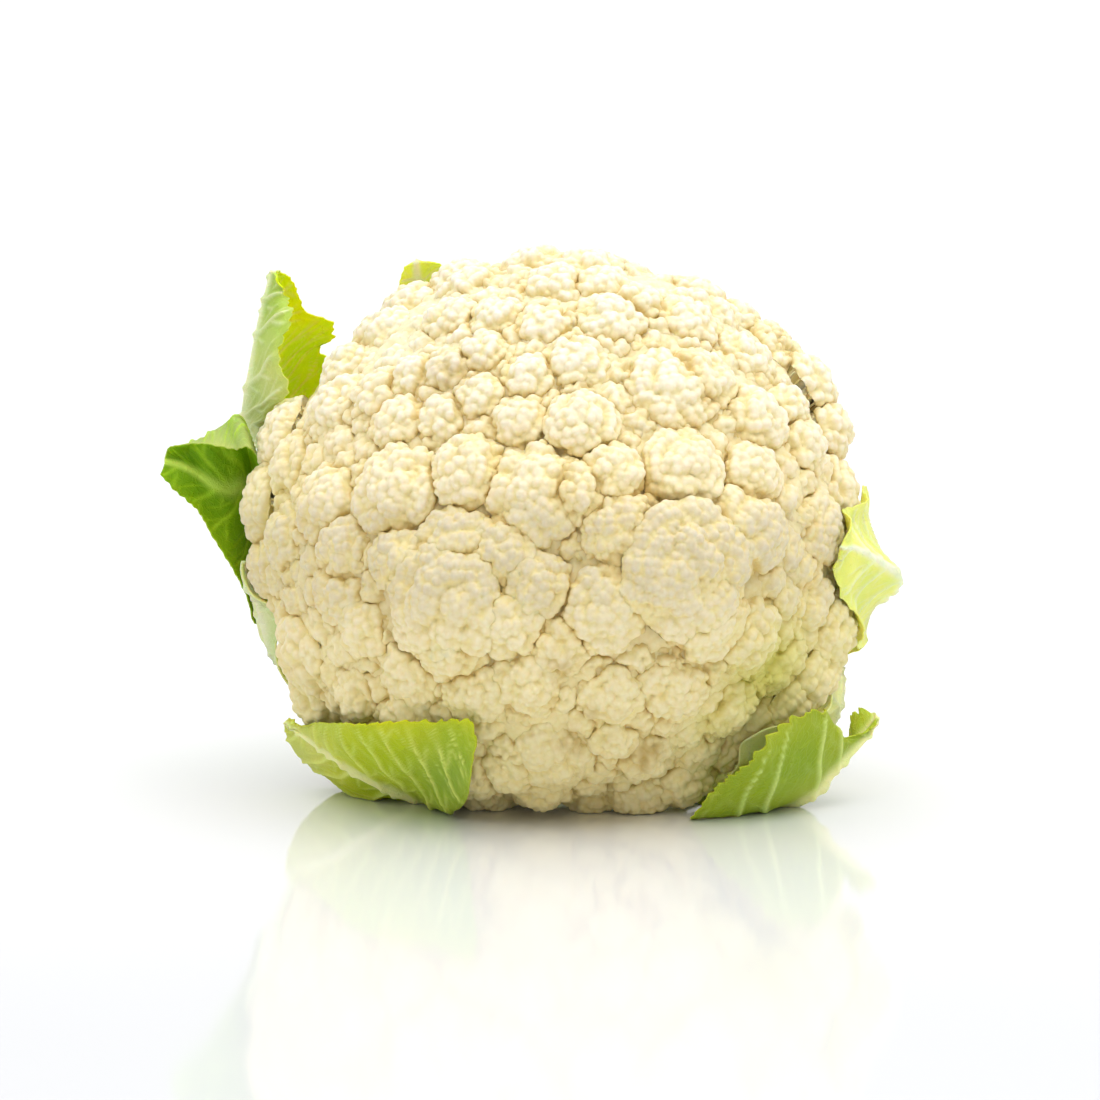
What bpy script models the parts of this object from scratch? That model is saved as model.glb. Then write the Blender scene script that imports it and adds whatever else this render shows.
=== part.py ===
# A cauliflower as picked: a white head of florets on a short cut stem, in a ring of trimmed leaves.
# It lies on its side on a level surface at z = 0, with the crown of the head leaning towards -Y.

import math

import bmesh
import bpy
import numpy as np

MM = 0.001

# The head is an oval of revolution about its growing axis. Lengths are in millimetres, angles in degrees.
HEAD_CENTRE = np.array((5.7, -6.3, 78.0))
HEAD_HALF_WIDTH = 88.0
HEAD_HALF_HEIGHT = 70.0
AXIS_RISE = 39.0
AXIS_TURN = 15.0
UNDERSIDE = 46.0
RIM_ANGLE = 112.0
HEAD_NET_POINTS = 4300

# The readings below are those of a viewer one metre away, who looks slightly down on the head.
VIEW_DROP = 7.0
VIEW_DISTANCE = 1000.0
LEAF_STEP = 0.2927
LEAF_ORIGIN = (550, 527)

# Relief of the florets. Small curds stand on every lobe, sunk into it by a share of their radius, and
# are set out of their even places by a share of it.
CURD_RADIUS = 5.2
CURD_SINK = 0.82
CURD_DISORDER = 0.22
CURDS_PER_AREA = 4.2
LOBE_CORE = 0.92
CREVICE_DEPTH = 11.0
RELIEF_LIMIT = 2.6
SPIKE_PASSES = 2
FLAT_SPOT_HEIGHT = 1.6

# Branches under the rim, which carry the outer florets.
BRANCH_RADIUS = 7.0
BRANCH_BALLS = 6
BRANCHED_BELOW = -8.0

# The stem is a turned stub with three scars of broken leaves, which wind round it.
STEM_RADIUS = 23.0
STEM_FLARE = 3.0
STEM_END = 84.0
STEM_GAP = 0.4
SCAR_RISE = 1.4
SCAR_COUNT = 3
SCAR_TWIST = 0.35
STEM_SIDES = 36

# Leaf blades and their mid ribs. Inner leaves lie close to the head, outer ones lie over them.
BLADE_THICKNESS = 1.1
EDGE_THICKNESS = 0.8
RIB_HEIGHT = 3.6
RIB_WIDTH = 4.0
RIB_TAPER = 0.75
BLADE_CAMBER = 0.10
WAVES_ALONG = 4.5
TEETH_FROM = 0.3
INNER_ATTACHMENT = -58.0
OUTER_ATTACHMENT = -70.0
LEAF_BASE_RADIUS = 28.5
LEAF_BASE_WIDTH = 12.0
LEAF_BASE_LENGTH = 8.0
INNER_GAP = 2.6
OUTER_GAP = 6.0
FLOOR_PUSHES = 14
REST_POINT = np.array((-4.0, -16.0, 0.0))
SMOOTHING_PASSES = 3

GOLDEN_TURN = math.pi * (3 - math.sqrt(5))
SHARP_ANGLE = 50.0
RANDOM_SEED = 7

# Lobes of the florets that face the viewer, floret by floret: (across, up, radius) from the head's
# centre, as the viewer sees them.
FLORETS = {
    "crown": [(-20, 36, 7), (-8, 29, 8), (-6, 41, 8), (-31, 30, 7), (-39, 42, 7), (-29, 44, 7),
              (-19, 49, 7), (-2, 56, 8), (-15, 58, 8), (-28, 58, 8)],
    "upper_left": [(-58, 31, 12), (-42, 28, 9), (-50, 56, 11), (-59, 45, 9), (-40, 62, 10), (-25, 68, 10)],
    "left": [(-61, 5, 12), (-58, -7, 9), (-77, 6, 13), (-74, 25, 11), (-78, -11, 10)],
    "middle": [(-41, 8, 14), (-23, 14, 10), (-3, 6, 16), (8, 9, 8), (18, 14, 8), (9, 28, 9)],
    "top": [(7, 44, 10), (17, 55, 12), (2, 64, 12), (-3, 70, 12), (15, 68, 9), (26, 64, 8), (38, 55, 11),
            (41, 62, 12), (54, 59, 9), (63, 53, 9)],
    "right": [(33, 34, 16), (42, 39, 11), (58, 29, 10), (63, 47, 11), (74, 41, 8), (69, 34, 6),
              (72, 23, 8), (80, 28, 8), (79, 9, 11), (57, 14, 9)],
    "great": [(33, -12, 24), (54, -2, 13), (37, 14, 12), (15, -24, 12), (43, -26, 12), (20, -1, 11)],
    "second": [(-26, -21, 20), (-43, -10, 8), (-28, -35, 9), (-11, -28, 9), (-3, -18, 8)],
    "lower_left": [(-66, -35, 13), (-52, -30, 8), (-59, -19, 9), (-54, -48, 8), (-38, -41, 10),
                   (-40, -54, 9), (-65, -49, 10)],
    "bottom": [(-6, -44, 10), (3, -33, 9), (-21, -47, 9), (17, -48, 9), (34, -45, 11), (0, -61, 14),
               (18, -61, 6), (26, -65, 8), (41, -62, 9), (38, -72, 9), (-11, -69, 8), (-2, -74, 8),
               (26, -77, 8), (12, -77, 7)],
    "lower_right": [(78, -9, 11), (63, -37, 11), (78, -31, 11), (50, -51, 9), (75, -43, 9), (50, -63, 8),
                    (65, -21, 8), (68, -51, 9)],
}
PROUD = {"great": 5.0, "second": 4.0, "middle": 3.0, "left": 1.0, "right": 1.0}
FILL_LOBES = 170
FILL_RADIUS = (9.0, 13.5)
FILL_SPACING = 0.6

# The leaves, as three or five rails from the stem to the tip. A station is the mid rib, then the edge on
# the lower-angle side, then the edge on the higher-angle side, then the two half-way points of the blade
# if it rolls. A reading is (step right, step down, mm behind the head's centre) in the viewer's picture.
LEAVES = {
    "leaf_upper_left": dict(
        angle=150, outer=True, rows=26, columns=9, gap=INNER_GAP,
        teeth=1.0, wave=0.8, colour=(0.33, 0.50, 0.04),
        stations=[
            [(430, 520, 80), (446, 478, 84), (424, 556, 74), (436, 496, 84), (424, 542, 78)],
            [(338, 472, 78), (378, 425, 82), (332, 505, 68), (352, 446, 84), (328, 492, 74)],
            [(268, 446, 52), (322, 398, 54), (284, 452, 42), (292, 418, 60), (266, 450, 44)],
            [(246, 420, 32), (329, 366, 42), (268, 423, 18), (288, 386, 46), (254, 426, 20)],
            [(245, 400, 22), (319, 348, 36), (283, 407, 7), (282, 370, 38), (262, 405, 10)],
            [(249, 372, 20), (332, 338, 32), (286, 386, 1), (290, 346, 34), (266, 382, 5)],
            [(253, 346, 19), (329, 321, 28), (276, 354, 2), (292, 328, 30), (264, 352, 5)],
            [(259, 318, 18), (304, 313, 24), (290, 318, 6), (281, 310, 26), (274, 320, 7)],
            [(266, 291, 16), (291, 281, 18), (284, 296, 12), (278, 284, 20), (274, 294, 12)],
            [(273, 271, 15), (280, 273, 17), (277, 278, 11), (276, 271, 17), (275, 275, 13)]]),
    "leaf_left": dict(
        angle=182, outer=False, rows=24, columns=9, gap=INNER_GAP,
        teeth=0.8, wave=0.9, colour=(0.12, 0.30, 0.02),
        stations=[
            [(404, 606, 66), (404, 574, 70), (404, 638, 60), (404, 590, 69), (404, 622, 64)],
            [(318, 566, 56), (322, 520, 62), (308, 640, 40), (320, 540, 61), (312, 606, 50)],
            [(264, 522, 38), (272, 486, 38), (262, 625, 20), (264, 500, 40), (262, 575, 31)],
            [(244, 487, 25), (252, 450, 0), (249, 598, 16), (242, 425, 14), (246, 545, 24)],
            [(230, 489, 21), (233, 450, 1), (231, 562, 14), (223, 428, 13), (232, 527, 20)],
            [(214, 484, 18), (212, 447, 3), (213, 534, 14), (206, 441, 13), (214, 510, 18)],
            [(200, 474, 17), (192, 446, 9), (198, 509, 14), (191, 448, 17), (200, 492, 17)],
            [(184, 465, 15), (177, 447, 11), (180, 492, 13), (179, 453, 16), (182, 478, 15)],
            [(165, 461, 14), (168, 449, 12), (163, 472, 12), (166, 455, 14), (164, 466, 14)]]),
    "leaf_left_under": dict(
        angle=208, outer=False, rows=12, columns=6, gap=INNER_GAP,
        teeth=0.0, wave=0.3, colour=(0.52, 0.60, 0.25),
        stations=[
            [(400, 690, 54), (404, 660, 58), (400, 715, 46)],
            [(316, 690, 32), (312, 650, 40), (330, 715, 16)],
            [(276, 650, 8), (268, 644, 14), (284, 652, 0)],
            [(266, 620, 4), (257, 616, 10), (284, 622, -2)],
            [(257, 588, 3), (251, 588, 8), (275, 594, 0)],
            [(250, 560, 4), (247, 562, 7), (255, 563, 2)]]),
    "leaf_lower_left": dict(
        angle=232, outer=True, rows=26, columns=9, gap=INNER_GAP,
        teeth=0.9, wave=0.7, colour=(0.36, 0.52, 0.06),
        stations=[
            [(502, 738, 40), (488, 724, 44), (518, 752, 34)],
            [(472, 782, 12), (456, 772, 22), (484, 790, 4)],
            [(449, 801, -2), (434, 794, 14), (450, 809, -16)],
            [(430, 801, -8), (418, 796, 9), (468, 796, -46)],
            [(410, 798, -12), (404, 800, 8), (475, 728, -66)],
            [(386, 790, -16), (386, 805, 7), (435, 722, -58)],
            [(360, 778, -18), (362, 803, 8), (396, 723, -55)],
            [(332, 760, -18), (338, 788, 12), (358, 724, -47)],
            [(308, 742, -13), (313, 778, 12), (326, 724, -27)],
            [(294, 729, -8), (293, 761, 6), (302, 722, -13)],
            [(285, 721, -5), (284, 728, -1), (289, 718, -7)]]),
    "leaf_lower_right_inner": dict(
        angle=322, outer=False, rows=18, columns=6, gap=INNER_GAP,
        teeth=0.0, wave=0.4, colour=(0.62, 0.60, 0.14),
        stations=[
            [(676, 716, 22), (660, 745, 16), (700, 700, 30)],
            [(722, 764, 8), (690, 784, -8), (762, 716, 30)],
            [(776, 768, -4), (722, 760, -25), (806, 706, 26)],
            [(818, 738, -8), (756, 734, -32), (826, 692, 20)],
            [(838, 702, -2), (808, 711, -26), (834, 680, 12)],
            [(839, 668, 2), (830, 676, -6), (840, 664, 5)]]),
    "leaf_lower_right": dict(
        angle=305, outer=True, rows=26, columns=9, gap=OUTER_GAP,
        teeth=1.0, wave=0.7, colour=(0.38, 0.55, 0.07),
        stations=[
            [(672, 760, 14), (656, 770, 8), (690, 752, 22)],
            [(716, 796, -2), (690, 800, -10), (732, 780, 10)],
            [(752, 801, -10), (708, 806, -20), (764, 786, 2)],
            [(782, 802, -14), (690, 815, -33), (790, 780, 0)],
            [(803, 796, -17), (716, 788, -42), (812, 768, -2)],
            [(818, 786, -19), (748, 762, -46), (824, 754, -4)],
            [(831, 770, -19), (778, 728, -44), (830, 742, -6)],
            [(845, 755, -17), (817, 713, -33), (846, 736, -8)],
            [(858, 742, -15), (837, 738, -22), (848, 720, -10)],
            [(869, 729, -13), (858, 734, -16), (860, 709, -11)],
            [(877, 716, -12), (874, 722, -15), (872, 710, -10)]]),
    "leaf_right": dict(
        angle=356, outer=False, rows=18, columns=7, gap=INNER_GAP,
        teeth=0.6, wave=0.5, colour=(0.60, 0.66, 0.20),
        stations=[
            [(770, 628, 40), (770, 650, 34), (770, 590, 48)],
            [(846, 612, 34), (846, 652, 22), (842, 560, 46)],
            [(884, 590, 18), (868, 642, 12), (868, 520, 34)],
            [(894, 576, 2), (860, 648, -6), (865, 487, 6)],
            [(874, 560, -16), (852, 628, -18), (852, 499, -8)],
            [(848, 548, -28), (838, 592, -28), (834, 514, -22)],
            [(824, 547, -33), (828, 562, -32), (827, 533, -31)]]),
    "leaf_top": dict(
        angle=122, outer=False, rows=12, columns=6, gap=INNER_GAP,
        teeth=0.8, wave=0.6, colour=(0.62, 0.62, 0.12),
        stations=[
            [(512, 470, 84), (535, 470, 86), (490, 480, 82)],
            [(468, 376, 86), (510, 360, 88), (430, 400, 82)],
            [(430, 308, 64), (468, 296, 62), (392, 322, 62)],
            [(418, 280, 46), (450, 270, 44), (397, 296, 46)],
            [(416, 262, 38), (428, 263, 38), (405, 267, 38)]]),
    "leaf_top_right": dict(
        angle=48, outer=False, rows=12, columns=6, gap=INNER_GAP,
        teeth=0.6, wave=0.5, colour=(0.60, 0.64, 0.22),
        stations=[
            [(708, 500, 68), (730, 520, 64), (684, 488, 72)],
            [(772, 430, 66), (806, 460, 58), (730, 410, 74)],
            [(800, 372, 52), (830, 410, 46), (764, 346, 58)],
            [(793, 336, 38), (802, 350, 36), (782, 330, 38)]]),
    "leaf_back_right": dict(
        angle=18, outer=True, rows=12, columns=6, gap=OUTER_GAP,
        teeth=0.0, wave=0.3, colour=(0.58, 0.66, 0.28),
        stations=[
            [(746, 594, 58), (744, 620, 54), (744, 566, 62)],
            [(800, 570, 60), (804, 606, 54), (794, 534, 66)],
            [(832, 556, 52), (838, 586, 46), (824, 524, 58)]]),
    "leaf_back_upper": dict(
        angle=84, outer=True, rows=12, columns=6, gap=OUTER_GAP,
        teeth=0.0, wave=0.3, colour=(0.58, 0.66, 0.28),
        stations=[
            [(636, 512, 76), (664, 518, 74), (606, 510, 77)],
            [(648, 466, 86), (684, 476, 82), (612, 464, 88)],
            [(656, 428, 90), (686, 438, 86), (624, 426, 91)]]),
    "leaf_back_lower": dict(
        angle=268, outer=True, along=-79.0, rows=12, columns=6, gap=INNER_GAP,
        teeth=0.0, wave=0.3, colour=(0.58, 0.66, 0.28),
        stations=[
            [(572, 766, 40), (546, 764, 42), (600, 765, 38)],
            [(564, 772, 31), (534, 770, 33), (594, 771, 29)],
            [(557, 779, 24), (530, 776, 26), (584, 779, 22)]]),
}


def unit(v):
    return v / np.linalg.norm(v, axis=-1, keepdims=True)


def axis_frame():
    """Growing axis, the level direction to its right, and the direction up across it."""
    rise, turn = math.radians(AXIS_RISE), math.radians(AXIS_TURN)
    fore = np.array((-math.sin(turn) * math.cos(rise), -math.cos(turn) * math.cos(rise), math.sin(rise)))
    right = np.array((math.cos(turn), -math.sin(turn), 0.0))
    return fore, right, np.cross(fore, right)


FORE, RIGHT, UP = axis_frame()


def viewer_frame():
    """Direction from the head to the viewer, and the viewer's up direction."""
    drop = math.radians(VIEW_DROP)
    return np.array((0.0, -math.cos(drop), math.sin(drop))), np.array((0.0, math.sin(drop), math.cos(drop)))


VIEWER, VIEW_UP = viewer_frame()
ACROSS = np.array((1.0, 0.0, 0.0))


def on_oval(across, up, inset):
    """The nearest point that the viewer sees at (across, up) on the head's oval shrunk by inset.

    A line of sight that misses the oval gives its own point closest to the oval.
    """
    sight = unit(across * ACROSS + up * VIEW_UP - VIEWER * VIEW_DISTANCE)
    start = VIEWER * VIEW_DISTANCE
    wide, high = HEAD_HALF_WIDTH - inset, HEAD_HALF_HEIGHT - inset
    squash = np.eye(3) / wide**2 + np.outer(FORE, FORE) * (1 / high**2 - 1 / wide**2)
    a, b, c = sight @ squash @ sight, start @ squash @ sight, start @ squash @ start - 1
    return start - sight * (b + math.sqrt(max(b * b - a * c, 0))) / a


def outward(points):
    """Direction square to the head's oval at these points, measured from its centre."""
    along = points @ FORE
    stretch = HEAD_HALF_HEIGHT**-2 - HEAD_HALF_WIDTH**-2
    return unit(points / HEAD_HALF_WIDTH**2 + np.outer(along, FORE) * stretch)


def golden_directions(count):
    """Directions spread evenly over a sphere by the golden angle."""
    k = np.arange(count)
    z = 1 - (2 * k + 1) / count
    flat = np.sqrt(1 - z * z)
    return np.stack((flat * np.cos(k * GOLDEN_TURN), flat * np.sin(k * GOLDEN_TURN), z), axis=1)


def head_lobes():
    """(centres from the head's centre, radii) of all the lobes: the named ones, then those that fill."""
    centres, radii = [], []
    for floret, lobes in FLORETS.items():
        for across, up, radius in lobes:
            centres.append(on_oval(across, up, radius - PROUD.get(floret, 0.0)))
            radii.append(radius)
    draw = np.random.default_rng(RANDOM_SEED)
    for d in golden_directions(FILL_LOBES):
        radius = draw.uniform(*FILL_RADIUS)
        across_axis = d - (d @ FORE) * FORE
        point = across_axis * (HEAD_HALF_WIDTH - radius) + (d @ FORE) * FORE * (HEAD_HALF_HEIGHT - radius)
        angle = math.degrees(math.acos(unit(point) @ FORE))
        apart = np.linalg.norm(np.array(centres) - point, axis=1)
        if angle > RIM_ANGLE or (apart < FILL_SPACING * (np.array(radii) + radius)).any():
            continue
        centres.append(point)
        radii.append(radius)
    return np.array(centres), np.array(radii)


def curds_on(centre, radius):
    """Small curds that cover one lobe, as balls sunk into it: (centres, radii)."""
    small = CURD_RADIUS * min(1.0, 0.55 + radius / 30)
    d = golden_directions(int(CURDS_PER_AREA * (radius / small) ** 2))
    turn = outward(centre[None])[0]
    side = unit(np.cross(turn, (0.3, 0.5, 0.8)))
    basis = np.stack((side, np.cross(turn, side), turn))
    d = (d @ basis)[d[:, 2] > -0.35]
    draw = np.random.default_rng(int(radius * 10 + abs(centre[0]) * 7 + abs(centre[2]) * 3))
    d = unit(d + draw.normal(0, CURD_DISORDER * small / radius, d.shape))
    sizes = small * draw.uniform(0.85, 1.15, len(d))
    return centre + d * (radius - CURD_SINK * sizes)[:, None], sizes


def reach(directions, centres, radii):
    """How far the furthest of these balls reaches along each direction from the head's centre."""
    found = np.zeros(len(directions))
    for part in np.array_split(np.arange(len(directions)), 12):
        along = directions[part] @ centres.T
        under = along**2 - (centres**2).sum(1) + radii**2
        found[part] = np.where(under > 0, along + np.sqrt(np.maximum(under, 0)), 0).max(1)
    return found


def oval_reach(directions, inset):
    """How far the head's oval, shrunk by inset, reaches along each direction; shorter past its rim."""
    wide, high = HEAD_HALF_WIDTH - inset, HEAD_HALF_HEIGHT - inset
    along = directions @ FORE
    whole = 1 / np.sqrt((1 - along**2) / wide**2 + along**2 / high**2)
    past = np.degrees(np.arccos(np.clip(along, -1, 1))) - RIM_ANGLE
    return whole * np.clip(1 - past / 40, 0.5, 1)


def up_to_planes(directions, lengths, underside, floor):
    """The lengths, cut where they would pass the plane under the head or the level surface."""
    back = np.maximum(-(directions @ FORE), 1e-6)
    down = np.maximum(-directions[:, 2], 1e-6)
    return np.minimum(lengths, np.minimum(underside / back, floor / down))


def branch_balls(centres, radii):
    """Thick branches from the stem to the lobes round the rim, each as a row of balls."""
    root = -FORE * (UNDERSIDE - 8)
    balls, sizes = [], []
    for centre, radius in zip(centres, radii):
        if centre @ FORE > BRANCHED_BELOW:
            continue
        for share in np.linspace(0.15, 0.9, BRANCH_BALLS):
            balls.append(root + (centre - root) * share)
            sizes.append(BRANCH_RADIUS + (0.8 * radius - BRANCH_RADIUS) * share)
    return np.array(balls), np.array(sizes)


def new_mesh(name, points, faces, colour, roughness):
    """A smooth-shaded object from points in millimetres, with its own material."""
    mesh = bpy.data.meshes.new(name)
    mesh.from_pydata((points * MM).tolist(), [], faces)
    mesh.shade_smooth()
    mesh.set_sharp_from_angle(angle=math.radians(SHARP_ANGLE))
    material = bpy.data.materials.new(name)
    material.use_nodes = True
    surface = material.node_tree.nodes["Principled BSDF"]
    surface.inputs["Base Color"].default_value = (*colour, 1)
    surface.inputs["Roughness"].default_value = roughness
    surface.inputs["Metallic"].default_value = 0.0
    mesh.materials.append(material)
    obj = bpy.data.objects.new(name, mesh)
    bpy.context.collection.objects.link(obj)
    return obj


def sphere_net(count):
    """(directions, triangles) of an even net over a sphere, as the hull of golden-angle points."""
    net = bmesh.new()
    for d in golden_directions(count):
        net.verts.new(d)
    net.verts.ensure_lookup_table()
    bmesh.ops.convex_hull(net, input=net.verts)
    bmesh.ops.recalc_face_normals(net, faces=net.faces)
    net.verts.index_update()
    directions = np.array([v.co for v in net.verts])
    faces = [[v.index for v in f.verts] for f in net.faces]
    net.free()
    return unit(directions), faces


def without_spikes(lengths, faces):
    """Lengths, each held within a few millimetres of the mean of its neighbours in the net."""
    corners = np.array(faces)
    start, end = corners.ravel(), np.roll(corners, -1, axis=1).ravel()
    count = np.bincount(start, minlength=len(lengths))
    for _ in range(SPIKE_PASSES):
        mean = np.bincount(start, lengths[end], minlength=len(lengths)) / count
        lengths = np.clip(lengths, mean - RELIEF_LIMIT, mean + RELIEF_LIMIT)
    return lengths


def make_head(centres, radii):
    """The head of florets: each point of an even net moved out to the curds, lobes and branches."""
    directions, faces = sphere_net(HEAD_NET_POINTS)
    small = [curds_on(c, r) for c, r in zip(centres, radii)]
    branches, branch_radii = branch_balls(centres, radii)
    balls = np.concatenate([centres, branches, *[c for c, _ in small]])
    sizes = np.concatenate([radii * LOBE_CORE, branch_radii, *[s for _, s in small]])
    lengths = np.maximum(reach(directions, balls, sizes), oval_reach(directions, CREVICE_DEPTH))
    lengths = without_spikes(lengths, faces)
    lengths = up_to_planes(directions, lengths, UNDERSIDE, HEAD_CENTRE[2])
    points = HEAD_CENTRE + directions * lengths[:, None]
    points[points[:, 2] < FLAT_SPOT_HEIGHT, 2] = 0.0
    return new_mesh("curd", points, faces, (0.87, 0.78, 0.55), 0.55)


def seen_at(readings):
    """Points of leaf readings, given as (step right, step down, mm behind the head's centre)."""
    x, y, depth = np.moveaxis(np.asarray(readings, float), -1, 0)
    step = LEAF_STEP * (1 + depth / VIEW_DISTANCE)
    across, up = (x - LEAF_ORIGIN[0]) * step, (LEAF_ORIGIN[1] - y) * step
    return across[..., None] * ACROSS + up[..., None] * VIEW_UP - depth[..., None] * VIEWER


def at_stem(angle, out, along, side):
    """Points beside the stem: out from its axis, along it from the head's centre, and to the side."""
    a = math.radians(angle)
    ray = math.cos(a) * RIGHT + math.sin(a) * UP
    return out * ray + along * FORE + np.outer(side, math.cos(a) * UP - math.sin(a) * RIGHT)


def smooth_rails(stations, count):
    """Rows along a leaf: each rail is a smooth curve through its station points."""
    at = np.linspace(0, len(stations) - 1, count)
    i = np.minimum(at.astype(int), len(stations) - 2)
    u = (at - i)[:, None, None]
    before, here = stations[np.maximum(i - 1, 0)], stations[i]
    there, after = stations[i + 1], stations[np.minimum(i + 2, len(stations) - 1)]
    bend = (2 * before - 5 * here + 4 * there - after) * u**2
    return here + 0.5 * ((there - before) * u + bend + (3 * here - before - 3 * there + after) * u**3)


def leaf_stations(leaf):
    """Stations of a leaf as points: mid, both edges, both half-way points, from the stem to the tip."""
    out = LEAF_BASE_RADIUS
    along = leaf.get("along", OUTER_ATTACHMENT if leaf["outer"] else INNER_ATTACHMENT)
    side = LEAF_BASE_WIDTH * np.array((0, -0.5, 0.5, -0.28, 0.28))
    further, forward = out + LEAF_BASE_LENGTH, along + 0.6 * LEAF_BASE_LENGTH
    rows = [at_stem(leaf["angle"], out, along, side), at_stem(leaf["angle"], further, forward, side * 1.2)]
    for station in leaf["stations"]:
        mid, low, high = (seen_at(p) for p in station[:3])
        halves = [seen_at(p) for p in station[3:]]
        if not halves:
            for edge in (low, high):
                camber = BLADE_CAMBER * np.linalg.norm(edge - mid) * unit(mid)
                halves.append((mid + edge) / 2 + camber)
        rows.append(np.array([mid, low, high, *halves]))
    return np.array(rows)


def leaf_sheet(leaf, seed):
    """Middle surface of a leaf as rows of points, with the place of each column from -1 to 1."""
    rails = smooth_rails(leaf_stations(leaf), leaf["rows"])
    mid, low, high, low_half, high_half = np.moveaxis(rails, 1, 0)
    v = np.linspace(-1, 1, leaf["columns"])
    share = np.abs(v)[None, :, None]
    edge = np.where(v[None, :, None] < 0, low[:, None], high[:, None])
    half = np.where(v[None, :, None] < 0, low_half[:, None], high_half[:, None])
    turn = 2 * half - (mid[:, None] + edge) / 2
    sheet = (1 - share) ** 2 * mid[:, None] + 2 * share * (1 - share) * turn + share**2 * edge
    row = np.arange(leaf["rows"])
    toothed = (row > leaf["rows"] * TEETH_FROM) & (row < leaf["rows"] - 2)
    tooth = leaf["teeth"] * np.where(row % 2 == 0, 1.0, -0.6) * toothed
    sheet += unit(edge - mid[:, None] + 1e-9) * (share == 1) * tooth[:, None, None]
    phase = np.random.default_rng(seed).uniform(0, 2 * math.pi)
    swell = np.sin(row / leaf["rows"] * 2 * math.pi * WAVES_ALONG + phase) * np.minimum(row / 6, 1)
    lift = leaf["wave"] * swell[:, None] * v[None, :] ** 2
    return sheet + face_directions(sheet) * lift[..., None], v


def face_directions(sheet):
    """Directions square to a sheet of points."""
    along = np.gradient(sheet, axis=0)
    over = np.gradient(sheet, axis=1)
    return unit(np.cross(along, over) + 1e-12)


def evened(square):
    """Directions over a sheet, each averaged with those beside it."""
    for _ in range(SMOOTHING_PASSES):
        padded = np.pad(square, ((1, 1), (1, 1), (0, 0)), mode="edge")
        beside = padded[:-2, 1:-1] + padded[2:, 1:-1] + padded[1:-1, :-2] + padded[1:-1, 2:]
        square = unit(square + 0.5 * beside)
    return square


def shortfall(points, centres, radii, gap):
    """(direction from the head's centre, how far inside these balls) of each point."""
    length = np.linalg.norm(points, axis=1)
    directions = points / length[:, None]
    least = up_to_planes(directions, reach(directions, centres, radii), UNDERSIDE + gap, math.inf)
    return directions, least - length


def keep_clear(points, centres, radii, gap):
    """Points moved out until they clear the lobes by the gap, and sideways where the floor stops them."""
    flat = points.reshape(-1, 3)
    directions, short = shortfall(flat, centres, radii + gap, gap)
    flat = flat + directions * np.maximum(short, 0)[:, None]
    for _ in range(FLOOR_PUSHES):
        flat[:, 2] = np.maximum(flat[:, 2], BLADE_THICKNESS / 2 - HEAD_CENTRE[2])
        directions, short = shortfall(flat, centres, radii + gap, gap)
        away = unit((flat - REST_POINT) * (1, 1, 0))
        flat += away * np.clip(short, 0, 1)[:, None]
    return flat.reshape(points.shape)


def make_leaf(name, leaf, seed, guards, guard_radii):
    """A leaf: a curved sheet with a raised mid rib, closed all round its edge."""
    sheet, v = leaf_sheet(leaf, seed)
    sheet = keep_clear(sheet, guards, guard_radii, leaf["gap"])
    square = evened(face_directions(sheet))
    outside = (square * unit(sheet)).sum((1, 2)).mean() > 0
    mid = len(v) // 2
    across = np.linalg.norm(sheet - (sheet[:, [mid]] + sheet[:, [len(v) - 1 - mid]]) / 2, axis=2)
    fade = 1 - RIB_TAPER * np.linspace(0, 1, len(sheet))[:, None]
    rib = RIB_HEIGHT * fade * np.exp(-((across / (RIB_WIDTH * fade)) ** 2))
    blade = BLADE_THICKNESS + (EDGE_THICKNESS - BLADE_THICKNESS) * np.abs(v)[None, :]
    upper = sheet + square * (blade / 2 + rib * (1.0 if outside else 0.1))[..., None]
    lower = sheet - square * (blade / 2 + rib * (0.1 if outside else 1.0))[..., None]
    points = np.concatenate([upper.reshape(-1, 3), lower.reshape(-1, 3)]) + HEAD_CENTRE
    points[:, 2] = np.maximum(points[:, 2], 0.0)
    return new_mesh(name, points, sheet_faces(len(sheet), len(v)), leaf["colour"], 0.5)


def sheet_faces(rows, columns):
    """Triangles of a closed sheet: both faces alike, then the strip round the edge."""
    grid = np.arange(rows * columns).reshape(rows, columns)
    a, b, c, d = grid[:-1, :-1].ravel(), grid[1:, :-1].ravel(), grid[1:, 1:].ravel(), grid[:-1, 1:].ravel()
    front = np.concatenate([np.stack((a, b, c), 1), np.stack((a, c, d), 1)])
    rim = np.concatenate([grid[:, 0], grid[-1, 1:], grid[-2::-1, -1], grid[0, -2:0:-1]])
    after = np.roll(rim, -1)
    far = rows * columns
    strip = [np.stack((rim, rim + far, after + far), 1), np.stack((rim, after + far, after), 1)]
    return np.concatenate([front, front[:, ::-1] + far, *strip]).tolist()


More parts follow.
